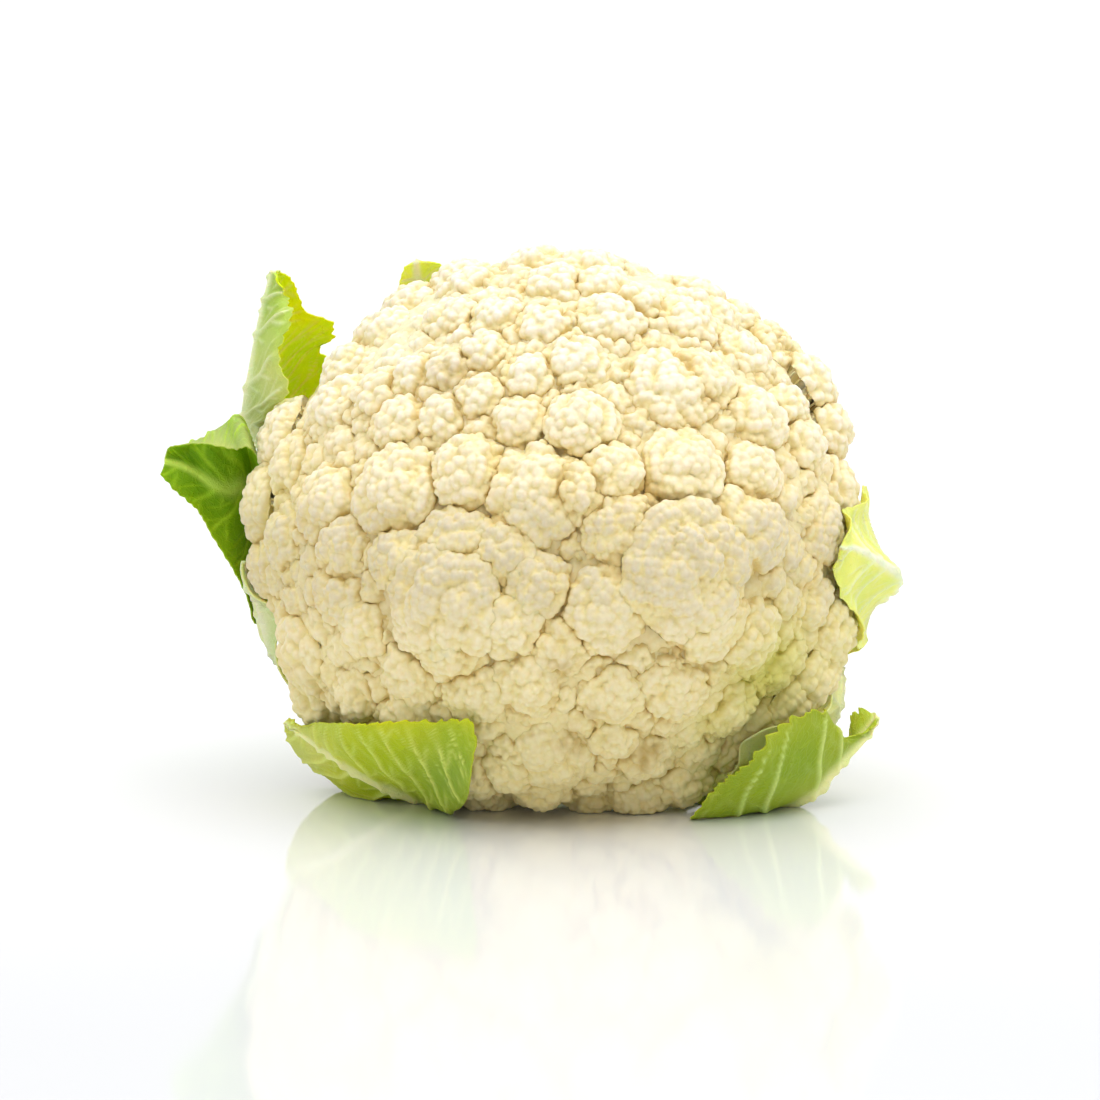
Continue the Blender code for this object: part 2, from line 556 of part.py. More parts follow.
def make_stem():
    """The cut stem: a turned stub with a bevelled end and the raised scars of old leaves."""
    start, end, r = -(UNDERSIDE + STEM_GAP), -STEM_END, STEM_RADIUS
    profile = [(r + STEM_FLARE, start), (r + 0.6 * STEM_FLARE, start - 4), (r + 0.2 * STEM_FLARE, start - 10),
               (r, start - 17), (r - 0.5, start - 24), (r - 1, end + 5), (r - 2, end + 1.5), (r - 4, end)]
    turn = np.arange(STEM_SIDES) * 2 * math.pi / STEM_SIDES
    ray = np.cos(turn)[:, None] * RIGHT + np.sin(turn)[:, None] * UP
    rings = []
    for radius, along in profile:
        scarred = end + 8 < along < start - 4
        scar = SCAR_RISE * scarred * np.maximum(np.sin(SCAR_COUNT * turn + along * SCAR_TWIST), 0)
        rings.append(ray * (radius + scar)[:, None] + along * FORE)
    points = np.concatenate([[start * FORE], *rings, [end * FORE]]) + HEAD_CENTRE
    k = np.arange(STEM_SIDES)
    after = (k + 1) % STEM_SIDES
    last = len(points) - 1
    faces = [np.stack((0 * k, 1 + k, 1 + after), 1),
             np.stack((0 * k + last, last - STEM_SIDES + after, last - STEM_SIDES + k), 1)]
    for ring in range(len(rings) - 1):
        here, there = 1 + ring * STEM_SIDES, 1 + (ring + 1) * STEM_SIDES
        faces.append(np.stack((here + k, there + k, there + after), 1))
        faces.append(np.stack((here + k, there + after, here + after), 1))
    return new_mesh("stem", points, np.concatenate(faces).tolist(), (0.72, 0.74, 0.48), 0.6)


def remove_old_objects():
    for obj in list(bpy.data.objects):
        bpy.data.objects.remove(obj)


def main():
    remove_old_objects()
    centres, radii = head_lobes()
    make_head(centres, radii)
    make_stem()
    branches, branch_radii = branch_balls(centres, radii)
    guards, guard_radii = np.concatenate([centres, branches]), np.concatenate([radii, branch_radii])
    for seed, (name, leaf) in enumerate(LEAVES.items()):
        make_leaf(name, leaf, RANDOM_SEED + seed, guards, guard_radii)


main()
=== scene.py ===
import math

import bpy
import numpy as np
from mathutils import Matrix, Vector


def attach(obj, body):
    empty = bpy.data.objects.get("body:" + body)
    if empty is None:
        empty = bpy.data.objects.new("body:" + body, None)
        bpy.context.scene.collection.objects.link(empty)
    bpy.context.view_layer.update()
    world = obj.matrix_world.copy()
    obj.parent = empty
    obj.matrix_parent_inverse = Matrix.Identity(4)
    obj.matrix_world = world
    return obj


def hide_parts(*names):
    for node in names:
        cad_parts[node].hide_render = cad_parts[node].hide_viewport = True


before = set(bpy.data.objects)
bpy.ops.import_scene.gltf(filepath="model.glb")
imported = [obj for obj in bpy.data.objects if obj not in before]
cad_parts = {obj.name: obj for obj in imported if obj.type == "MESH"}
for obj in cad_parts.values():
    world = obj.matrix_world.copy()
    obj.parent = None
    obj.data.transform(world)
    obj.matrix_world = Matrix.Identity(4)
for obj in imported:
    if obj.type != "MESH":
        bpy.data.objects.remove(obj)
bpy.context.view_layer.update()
mm = 0.001
fullTurn = 2 * math.pi
goldenTurn = math.pi * (3 - math.sqrt(5))
print("frame loaded:", len(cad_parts), "nodes")

# The head is an oval of revolution about its growing axis, in millimetres and degrees.
head = {
    "centre": np.array((5.7, -6.3, 78.0)),
    "halfWidth": 88.0,
    "halfHeight": 70.0,
    "axisRise": 39.0,      # how far the crown points up
    "axisTurn": 15.0,      # how far it points to the left
    "underside": 46.0,     # from the centre down to the stem
    "rimAngle": 112.0,     # where the florets end, from the crown
}

# The viewer of the readings below stands one metre away and looks slightly down.
viewer = {"drop": 7.0, "distance": 1000.0, "step": 0.2927, "middle": (550, 527)}


def unit(v):
    return v / np.linalg.norm(v, axis=-1, keepdims=True)


def growingAxes():
    # fore runs up through the crown, right is level, and up stands square to both
    rise, turn = math.radians(head["axisRise"]), math.radians(head["axisTurn"])
    fore = np.array((-math.sin(turn) * math.cos(rise), -math.cos(turn) * math.cos(rise), math.sin(rise)))
    right = np.array((math.cos(turn), -math.sin(turn), 0.0))
    return fore, right, np.cross(fore, right)


fore, right, up = growingAxes()
drop = math.radians(viewer["drop"])
toViewer = np.array((0.0, -math.cos(drop), math.sin(drop)))
viewUp = np.array((0.0, math.sin(drop), math.cos(drop)))
across = np.array((1.0, 0.0, 0.0))


def mix(a, b, share):
    # a where share is 0 and b where it is 1, for colours and numbers alike
    return a + (b - a) * share


def smoothStep(low, high, value):
    # 0 below low, 1 above high, with a soft rise between
    t = np.clip((value - low) / (high - low), 0, 1)
    return t * t * (3 - 2 * t)


def softNoise(points, size, seed):
    # Smooth noise from -1 to 1: six sine waves of random directions, each about size long, added up
    draw = np.random.default_rng(seed)
    waves = unit(draw.normal(size=(6, 3))) * draw.uniform(0.6, 1.5, (6, 1)) * fullTurn / size
    return np.sin(points @ waves.T + draw.uniform(0, fullTurn, 6)).sum(-1) / 3.2


def onOval(reading, inset):
    # Where the line of sight at (across, up) meets the head's oval shrunk by inset, from its centre
    sight = unit(reading[0] * across + reading[1] * viewUp - toViewer * viewer["distance"])
    start = toViewer * viewer["distance"]
    wide, high = head["halfWidth"] - inset, head["halfHeight"] - inset
    squash = np.eye(3) / wide**2 + np.outer(fore, fore) * (1 / high**2 - 1 / wide**2)
    a, b, c = sight @ squash @ sight, start @ squash @ sight, start @ squash @ start - 1
    return start - sight * (b + math.sqrt(max(b * b - a * c, 0))) / a


def goldenDirections(count):
    # Directions spread evenly over a sphere: equal steps down it, each turned by the golden angle
    k = np.arange(count)
    z = 1 - (2 * k + 1) / count
    flat = np.sqrt(1 - z * z)
    return np.stack((flat * np.cos(k * goldenTurn), flat * np.sin(k * goldenTurn), z), axis=1)


# Lobes that face the viewer, floret by floret: (across, up, radius) from the head's centre
florets = {
    "crown": [(-20, 36, 7), (-8, 29, 8), (-6, 41, 8), (-31, 30, 7), (-39, 42, 7), (-29, 44, 7),
              (-19, 49, 7), (-2, 56, 8), (-15, 58, 8), (-28, 58, 8)],
    "upper_left": [(-58, 31, 12), (-42, 28, 9), (-47, 53, 10), (-57, 44, 9), (-39, 61, 10), (-25, 68, 10)],
    "left": [(-61, 5, 12), (-58, -7, 9), (-77, 6, 13), (-74, 25, 11), (-78, -11, 10), (-78, 10, 9)],
    "middle": [(-41, 8, 14), (-23, 14, 10), (-3, 6, 16), (8, 9, 8), (18, 14, 8), (9, 28, 9)],
    "top": [(7, 44, 10), (17, 55, 12), (2, 64, 12), (-3, 70, 12), (14, 66, 9), (25, 62, 8), (38, 55, 11),
            (41, 61, 12), (53, 57, 9), (62, 51, 9)],
    "right": [(33, 34, 16), (42, 39, 11), (58, 29, 10), (63, 47, 11), (73, 40, 10), (69, 34, 6),
              (72, 23, 8), (80, 28, 8), (79, 9, 11), (57, 14, 9)],
    "great": [(33, -12, 24), (54, -2, 13), (37, 14, 12), (15, -24, 12), (43, -26, 12), (20, -1, 11)],
    "second": [(-26, -21, 20), (-43, -10, 8), (-28, -35, 9), (-11, -28, 9), (-3, -18, 8),
               (-26, -6, 11), (-13, -8, 9)],
    "lower_left": [(-66, -35, 13), (-52, -30, 8), (-59, -19, 9), (-54, -48, 8), (-38, -41, 10),
                   (-40, -54, 9), (-65, -49, 10)],
    "bottom": [(-6, -44, 10), (3, -33, 9), (-21, -47, 9), (17, -48, 9), (34, -45, 11), (0, -61, 14),
               (18, -61, 6), (26, -65, 8), (41, -62, 9), (38, -72, 9), (-11, -69, 8), (-2, -74, 8),
               (26, -77, 8), (12, -77, 7)],
    "lower_right": [(78, -9, 11), (63, -37, 11), (78, -31, 11), (50, -51, 9), (75, -43, 9), (50, -63, 8),
                    (65, -21, 17), (68, -51, 9), (60, -55, 9)],
}
# How far the first lobe of a floret and its other lobes stand over the oval
proud = {"great": (6.5, 2.5), "second": (5.5, 2.0), "middle": (3.0, 3.0), "left": (1.0, 1.0),
         "right": (1.0, 1.0), "lower_left": (1.5, 0.0)}
# How softly the lobes of one floret run into each other, in millimetres. The lobes of the florets that
# are left out here stand apart, as if each were a floret of its own.
merging = {"great": 2.5, "second": 2.5, "lower_left": 1.5, "bottom": 1.5, "lower_right": 1.5}
# Lobes on the rest of the head: directions tried, radii, the least distance as a share of both radii,
# and the seed. Every lobe then grows sideways, to radius * widen + grow.
filling = {"lobes": 170, "radius": (9.0, 13.5), "spacing": 0.6, "seed": 7, "widen": 1.19, "grow": 1.0}
# Places where lobes lie deeper, as the outline there is flatter: (across, up, reach, depth)
dents = [(-58, 62, 30, 5.5), (24, 74, 10, 4.0), (64, 56, 24, 2.5)]
# Small lobes in the gaps: places tried, how deep their tops lie, how far apart they stand, their radius
# and the most that a wide gap adds to it, how far a dome runs down, and the spacing of its points
between = {"tries": 2600, "inset": 2.8, "apart": 8.6, "radius": 6.4, "most": 2.5, "depth": 4.0,
           "spacing": 0.62}


def headLobes():
    # (centres, radii, names): the readings above, then random lobes where a golden-angle net has room
    centres, radii, names = [], [], []
    for floret, lobes in florets.items():
        for k, reading in enumerate(lobes):
            stands = proud.get(floret, (0.0, 0.0))[min(k, 1)]
            centres.append(onOval(reading, reading[2] - stands))
            radii.append(reading[2])
            names.append(floret)
    draw = np.random.default_rng(filling["seed"])
    for d in goldenDirections(filling["lobes"]):
        radius = draw.uniform(*filling["radius"])
        along = (d @ fore) * fore
        point = (d - along) * (head["halfWidth"] - radius) + along * (head["halfHeight"] - radius)
        angle = math.degrees(math.acos(unit(point) @ fore))
        apart = np.linalg.norm(np.array(centres) - point, axis=1)
        if angle > head["rimAngle"] or (apart < filling["spacing"] * (np.array(radii) + radius)).any():
            continue
        centres.append(dented(point, radius))
        radii.append(radius)
        names.append("around_%d" % (int(np.arctan2(point @ up, point @ right) / fullTurn * 6 + 6) % 6))
    return np.array(centres), np.array(radii), names


def dented(point, inset):
    # A point moved inwards by depth * exp(-(distance / reach)^2) for each dent
    for x, y, size, depth in dents:
        gone = np.linalg.norm(point - onOval((x, y), inset)) / size
        point = point - outward(point) * depth * math.exp(-gone * gone)
    return point


def widened(centres, radii):
    # Lobes grown sideways: their tops stay, and their middles sink by as much as they grow
    wider = radii * filling["widen"] + filling["grow"]
    return centres - np.array([outward(c) for c in centres]) * (wider - radii)[:, None], wider


def gapLobes(centres, radii):
    # (centres, radii, names) of small lobes wherever the oval shrunk by their inset shows between others
    points = goldenDirections(between["tries"])
    points = points * ovalReach(points, between["inset"])[:, None]
    bare = nearest(points, centres, radii)
    kept, sizes = [], []
    for point, room in zip(points, bare):
        angle = math.degrees(math.acos(unit(point) @ fore))
        if angle > head["rimAngle"] or room < 0:
            continue
        if kept and np.linalg.norm(np.array(kept) - point, axis=1).min() < between["apart"]:
            continue
        kept.append(dented(point, between["inset"]))
        sizes.append(between["radius"] + min(room, between["most"]))
    kept, sizes = np.array(kept), np.array(sizes)
    inward = np.array([outward(p) for p in kept]) * sizes[:, None]
    return kept - inward, sizes, ["between_%d" % (2 * i // len(kept)) for i in range(len(kept))]


def outward(point):
    # Square to the head's oval at a point
    stretch = head["halfHeight"]**-2 - head["halfWidth"]**-2
    return unit(point / head["halfWidth"]**2 + (point @ fore) * fore * stretch)


# Meshes


def domeDirections(a, b, spread):
    # A square laid on a dome: the larger of |a| and |b| sets the ring, the other the turn round it, and
    # equal areas of the square cover equal areas of the dome, down to the angle spread from its top
    wide = np.abs(a) >= np.abs(b)
    ring = np.where(wide, a, b)
    safe = np.where(ring == 0, 1, ring)
    turn = np.where(wide, math.pi / 4 * b / safe, math.pi / 2 - math.pi / 4 * a / safe)
    lean = 2 * np.arcsin(np.clip(np.abs(ring), 0, 1) * math.sin(spread / 2))
    flat = np.sin(lean) * np.sign(ring)
    return np.stack((flat * np.cos(turn), flat * np.sin(turn), np.cos(lean)), axis=-1)


# Caps of the relief, as shares of a cell or of their height: how far they stand off its middle, how far
# they reach, how high they rise, the floor between them, and how sharply the highest one wins
caps = {"shift": 0.24, "reach": (0.9, 1.16), "lift": (0.9, 1.04), "floor": 0.3, "sharp": 16}


def bumps(plane, spread, radius, cell, tight, draw):
    # Caps over a dome, from the floor in the gaps to 1 on top. Each cell of the dome's square holds one
    # cap, set off its middle at random. A point's height is the soft maximum of the caps near it, and a
    # cap falls away as the square root of 1 - (distance / reach) squared, where reach is tight cells.
    side = radius * math.sqrt(fullTurn * (1 - math.cos(spread)))
    cells = max(3, round(side / cell))
    row, column = np.meshgrid(np.arange(cells), np.arange(cells), indexing="ij")
    shiftA, shiftB = draw.uniform(-caps["shift"], caps["shift"], (2,) + row.shape)
    seedA = (row + 0.5 + shiftA) / cells * 2 - 1
    seedB = (column + 0.5 + (row % 2 - 0.5) * 0.5 + shiftB) / cells * 2 - 1
    seeds = domeDirections(np.clip(seedA, -1, 1), np.clip(seedB, -1, 1), spread) * radius
    span = side / cells * tight * draw.uniform(*caps["reach"], row.shape)
    lift = draw.uniform(*caps["lift"], row.shape)
    seeds = np.pad(seeds, ((2, 2), (2, 2), (0, 0)), constant_values=1e4).astype(np.float32)
    span = np.pad(span, 2, constant_values=1.0).astype(np.float32)
    lift = np.pad(lift, 2).astype(np.float32)
    points = (domeDirections(plane[0], plane[1], spread) * radius).astype(np.float32)
    i = np.clip(((plane[0] + 1) / 2 * cells).astype(int), 0, cells - 1)
    j = np.clip(((plane[1] + 1) / 2 * cells).astype(int), 0, cells - 1)
    sharp = caps["sharp"]
    total = np.full(i.shape, caps["floor"]**sharp, np.float32)
    for di in range(5):
        for dj in range(5):
            apart = ((points - seeds[i + di, j + dj])**2).sum(-1) / span[i + di, j + dj]**2
            cap = np.maximum(1 - apart, 0)
            total += cap**(sharp // 2) * lift[i + di, j + dj]**sharp
    return np.minimum(total**(1 / sharp), 1)


def gridQuads(rows, columns):
    # The four-sided faces of a grid of points
    grid = np.arange(rows * columns).reshape(rows, columns)
    return np.stack((grid[:-1, :-1], grid[1:, :-1], grid[1:, 1:], grid[:-1, 1:]), -1).reshape(-1, 4)


def gridRim(rows, columns):
    # The points round the edge of a grid, in order
    grid = np.arange(rows * columns).reshape(rows, columns)
    return np.concatenate([grid[:, 0], grid[-1, 1:], grid[-2::-1, -1], grid[0, -2:0:-1]])


def newPiece(name, points, quads, triangles, material, tone, plan=None):
    # A smooth mesh from arrays in millimetres, with a colour for each point and, if given, a flat plan
    mesh = bpy.data.meshes.new(name)
    mesh.vertices.add(len(points))
    mesh.vertices.foreach_set("co", (points * mm).astype(np.float32).ravel())
    corners = np.concatenate([quads.ravel(), triangles.ravel()]).astype(np.int32)
    starts = np.concatenate([np.arange(len(quads)) * 4, len(quads) * 4 + np.arange(len(triangles)) * 3])
    mesh.loops.add(len(corners))
    mesh.loops.foreach_set("vertex_index", corners)
    mesh.polygons.add(len(starts))
    mesh.polygons.foreach_set("loop_start", starts.astype(np.int32))
    mesh.update(calc_edges=True)
    mesh.shade_smooth()
    colours = mesh.color_attributes.new("tone", "FLOAT_COLOR", "POINT")
    whole = np.concatenate([tone, np.ones((len(tone), 1))], axis=1).astype(np.float32)
    colours.data.foreach_set("color", whole.ravel())
    if plan is not None:
        layer = mesh.uv_layers.new(name="plan")
        layer.data.foreach_set("uv", plan[corners].astype(np.float32).ravel())
    mesh.materials.append(material)
    piece = bpy.data.objects.new(name, mesh)
    bpy.context.scene.collection.objects.link(piece)
    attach(piece, "root")
    return piece


# Materials


def newMaterial(name, roughness, shine, glow, glowReach):
    # A material that takes its colour from the attribute tone; returns it with its nodes at hand
    material = bpy.data.materials.new(name)
    material.use_nodes = True
    nodes, links = material.node_tree.nodes, material.node_tree.links
    surface = nodes["Principled BSDF"]
    surface.inputs["Roughness"].default_value = roughness
    surface.inputs["Specular IOR Level"].default_value = shine
    surface.inputs["Subsurface Weight"].default_value = glow
    surface.inputs["Subsurface Radius"].default_value = (1.0, 0.62, 0.3)
    surface.inputs["Subsurface Scale"].default_value = glowReach
    tone = nodes.new("ShaderNodeAttribute")
    tone.attribute_name = "tone"
    return material, nodes, links, surface, tone


def noiseNode(nodes, links, scale, detail):
    # Soft blotches over the whole piece, from 0 to 1
    place = nodes.new("ShaderNodeTexCoord")
    noise = nodes.new("ShaderNodeTexNoise")
    noise.inputs["Scale"].default_value = scale
    noise.inputs["Detail"].default_value = detail
    links.new(place.outputs["Object"], noise.inputs["Vector"])
    return noise.outputs["Fac"]


def cellNode(nodes, links, kind, scale, vector):
    # Cells of the given number to a metre, or to ten centimetres of a leaf's plan
    cells = nodes.new("ShaderNodeTexVoronoi")
    cells.feature = kind
    cells.inputs["Scale"].default_value = scale
    links.new(vector, cells.inputs["Vector"])
    return cells


def mathNode(nodes, links, operation, *values):
    # One sum, difference or product; each value is a socket or a plain number, in order
    node = nodes.new("ShaderNodeMath")
    node.operation = operation
    for value, socket in zip(values, node.inputs):
        if isinstance(value, bpy.types.NodeSocket):
            links.new(value, socket)
        else:
            socket.default_value = value
    return node.outputs[0]


def mixNode(nodes, links, kind, share, first, second):
    # A colour mix; each side is a socket or a plain colour
    node = nodes.new("ShaderNodeMix")
    node.data_type = "RGBA"
    node.blend_type = kind
    for value, socket in ((share, node.inputs[0]), (first, node.inputs[6]), (second, node.inputs[7])):
        if isinstance(value, bpy.types.NodeSocket):
            links.new(value, socket)
        else:
            socket.default_value = value
    return node.outputs[2]


def rampNode(nodes, links, source, low, high):
    # 0 below low, 1 above high
    node = nodes.new("ShaderNodeMapRange")
    node.interpolation_type = "SMOOTHSTEP"
    node.inputs["From Min"].default_value = low
    node.inputs["From Max"].default_value = high
    links.new(source, node.inputs["Value"])
    return node.outputs["Result"]


def bumpNode(nodes, links, height, strength, distance, surface):
    # The height, times the distance in metres, tilts the surface's shading
    node = nodes.new("ShaderNodeBump")
    node.inputs["Strength"].default_value = strength
    node.inputs["Distance"].default_value = distance
    links.new(height, node.inputs["Height"])
    links.new(node.outputs["Normal"], surface.inputs["Normal"])


def curdMaterial():
    # Cream curd: fine buds as cells under two millimetres wide, sunk between them, with painted shade in
    # the gaps between them and faint blotches
    material, nodes, links, surface, tone = newMaterial("creamCurd", 0.55, 0.35, 0.3, 0.0006)
    place = nodes.new("ShaderNodeTexCoord")
    buds = cellNode(nodes, links, "SMOOTH_F1", 700, place.outputs["Object"])
    buds.inputs["Smoothness"].default_value = 0.25
    budGap = rampNode(nodes, links, buds.outputs["Distance"], 0.35, 0.75)
    # Painted shade in the gaps between buds
    budGapShade = mixNode(nodes, links, "MULTIPLY", budGap, tone.outputs["Color"], (0.975, 0.95, 0.88, 1))
    share = rampNode(nodes, links, noiseNode(nodes, links, 60, 3), 0.5, 0.75)
    colour = mixNode(nodes, links, "MULTIPLY", share, budGapShade, (0.97, 0.94, 0.86, 1))
    links.new(colour, surface.inputs["Base Color"])
    height = mathNode(nodes, links, "SUBTRACT", 1.0, buds.outputs["Distance"])
    bumpNode(nodes, links, height, 0.25, 0.0004, surface)
    return material


def leafMaterial():
    # Waxy leaf: a fine net of small veins in the plan, pale in colour and slightly raised
    material, nodes, links, surface, tone = newMaterial("waxyLeaf", 0.45, 0.15, 0.5, 0.002)
    plan = nodes.new("ShaderNodeUVMap")
    plan.uv_map = "plan"
    warp = nodes.new("ShaderNodeTexNoise")
    warp.inputs["Scale"].default_value = 18
    links.new(plan.outputs["UV"], warp.inputs["Vector"])
    bent = mixNode(nodes, links, "LINEAR_LIGHT", 0.025, plan.outputs["UV"], warp.outputs["Color"])
    net = cellNode(nodes, links, "DISTANCE_TO_EDGE", 42, bent)
    fineNet = cellNode(nodes, links, "DISTANCE_TO_EDGE", 110, bent)
    line = rampNode(nodes, links, net.outputs["Distance"], 0.09, 0.0)
    fineLine = rampNode(nodes, links, fineNet.outputs["Distance"], 0.12, 0.0)
    lines = mathNode(nodes, links, "MULTIPLY_ADD", fineLine, 0.4, line)
    paler = mixNode(nodes, links, "SCREEN", 0.22, tone.outputs["Color"], tone.outputs["Color"])
    share = mathNode(nodes, links, "MULTIPLY", lines, 0.75)
    veined = mixNode(nodes, links, "MIX", share, tone.outputs["Color"], paler)
    shade = rampNode(nodes, links, noiseNode(nodes, links, 55, 4), 0.35, 0.7)
    colour = mixNode(nodes, links, "MULTIPLY", shade, veined, (0.86, 0.93, 0.8, 1))
    links.new(colour, surface.inputs["Base Color"])
    bumpNode(nodes, links, lines, 0.5, 0.0003, surface)
    return material


def stemMaterial():
    # Pale stem, faintly blotched and rough
    material, nodes, links, surface, tone = newMaterial("paleStem", 0.5, 0.5, 0.3, 0.003)
    fibres = noiseNode(nodes, links, 220, 4)
    shade = rampNode(nodes, links, fibres, 0.4, 0.7)
    colour = mixNode(nodes, links, "MULTIPLY", shade, tone.outputs["Color"], (0.93, 0.94, 0.84, 1))
    links.new(colour, surface.inputs["Base Color"])
    bumpNode(nodes, links, fibres, 0.4, 0.0005, surface)
    return material


# Curd

curd = {
    "spacing": 0.42,         # between points on lobes that face the viewer
    "spacingBehind": 0.78,   # and on the others
    "crevice": 8.0,          # how far a lobe's dome runs down from its top
    "coreInset": 3.8,        # depth of the curd that fills the gaps
    "rise": 1.3,             # how far the tops of the curdlets stand over a lobe's ball
    "knobCell": (5.5, 9.0),
    "curdletCell": 2.8,
    "pinch": 0.5,            # how far a lobe draws in where it meets one of another floret
    "pinchReach": 1.0,
    "knobTight": 0.68,       # reaches of the bumps, as shares of their cells
    "curdletTight": 0.66,
    "knobHeight": 0.46,      # and their heights
    "curdletHeight": 0.58,
    "knobShare": 0.42,       # size of the knobs' cells, as a share of a lobe's radius
    "deeper": 3.0,           # how much further a dome runs down on the far side
    "stalkSteps": (0.12, 0.4, 0.7, 1.0),   # rings of a stalk, as shares of its way to the root
    "stalkStep": (0.5,),     # and on lobes near the crown, where no stalk can show
    "stalkEnd": 5.0,         # how wide a stalk is at its root
    "nearCrown": 12,         # how far up the growing axis those lobes start
    "turnedAway": -0.15,     # how far a lobe looks away from the viewer to get the wider spacing
    "lobeSeed": 100,
    "toneSeed": 40,
    "heights": (-75, 5, 65),   # where the tones are low, cream and high, up the view: painted light makes the top lighter, painted shade the bottom darker and yellower
    "band": 0.24,            # painted shade: how much darker the curd is across its middle
    "bandRise": (-34, -14),
    "bandFall": (12, 0),
    # high is cream with painted light from above, low is cream with painted shade below
    "high": (0.95, 0.90, 0.79),
    "cream": (0.93, 0.83, 0.61),
    "low": (0.80, 0.71, 0.40),
    # Painted shade: the first tone in the hollows between buds, the second deep in the crevices
    "hollowShade": (0.86, 0.74, 0.35),
    "creviceShade": (0.74, 0.57, 0.24),
    "green": (0.60, 0.58, 0.09),
    "stalk": (0.74, 0.76, 0.50),
    "stainTone": (0.50, 0.35, 0.10),
}

# Tints of the photograph's view: (across, up, reach, strength)
greenTints = [(62, -42, 17, 0.8), (48, -55, 10, 0.5), (80, -30, 14, 0.5), (-66, -52, 9, 0.4),
              (-78, 8, 18, 0.22), (82, 0, 8, 0.5), (-25, -52, 7, 0.25)]
stains = [(7, -64, 4, 0.9), (28, -67, 5, 1.0), (38, -75, 5, 0.8), (3, -41, 4, 0.6), (-29, 44, 7, 0.5),
          (12, -55, 3, 0.5), (60, -70, 3, 0.4)]


def tintShare(points, spots, inset):
    # How far each point lies within the spots, as the largest of strength * exp(-(distance / reach)^2)
    share = np.zeros(len(points))
    for x, y, size, strength in spots:
        apart = np.linalg.norm(points - onOval((x, y), inset), axis=1)
        share = np.maximum(share, strength * np.exp(-(apart / size)**2))
    return share


def curdTone(points, hollow, crevice, stalk, seed):
    # Cream, lighter towards the top of the view as painted light and darker and yellower towards the
    # bottom as painted shade, with a band of painted shade across the middle, painted shade in the hollows
    # between buds and darker painted shade towards the crevices, real stains, and green where tinted
    cream, hollowShade, creviceShade = (np.array(curd[k]) for k in ("cream", "hollowShade", "creviceShade"))
    blotch = softNoise(points, 26, 3)[:, None]
    height = (points @ viewUp)[:, None]
    bottom, middle, top = curd["heights"]
    tone = mix(np.array(curd["low"]), cream, smoothStep(bottom, middle, height))
    tone = mix(tone, np.array(curd["high"]), smoothStep(middle, top, height)) * (1 + 0.02 * blotch)
    # Painted shade across the middle of the view
    band = curd["band"] * smoothStep(*curd["bandRise"], height) * smoothStep(*curd["bandFall"], height)
    tone = tone * (1 - band)
    tone = mix(tone, hollowShade, np.clip(hollow, 0, 1)[:, None] * 0.8)
    tone = mix(tone, hollowShade, smoothStep(3.0, 0.2, crevice)[:, None] * 0.5)
    tone = mix(tone, creviceShade, smoothStep(0.7, -0.8, crevice)[:, None] * 0.7)
    rough = 0.75 + 0.5 * softNoise(points, 3.5, seed)
    tone = mix(tone, np.array(curd["stainTone"]), (tintShare(points, stains, 2) * rough)[:, None])
    tone = mix(tone, np.array(curd["green"]), tintShare(points, greenTints, 6)[:, None])
    return mix(tone, np.array(curd["stalk"]), stalk[:, None])


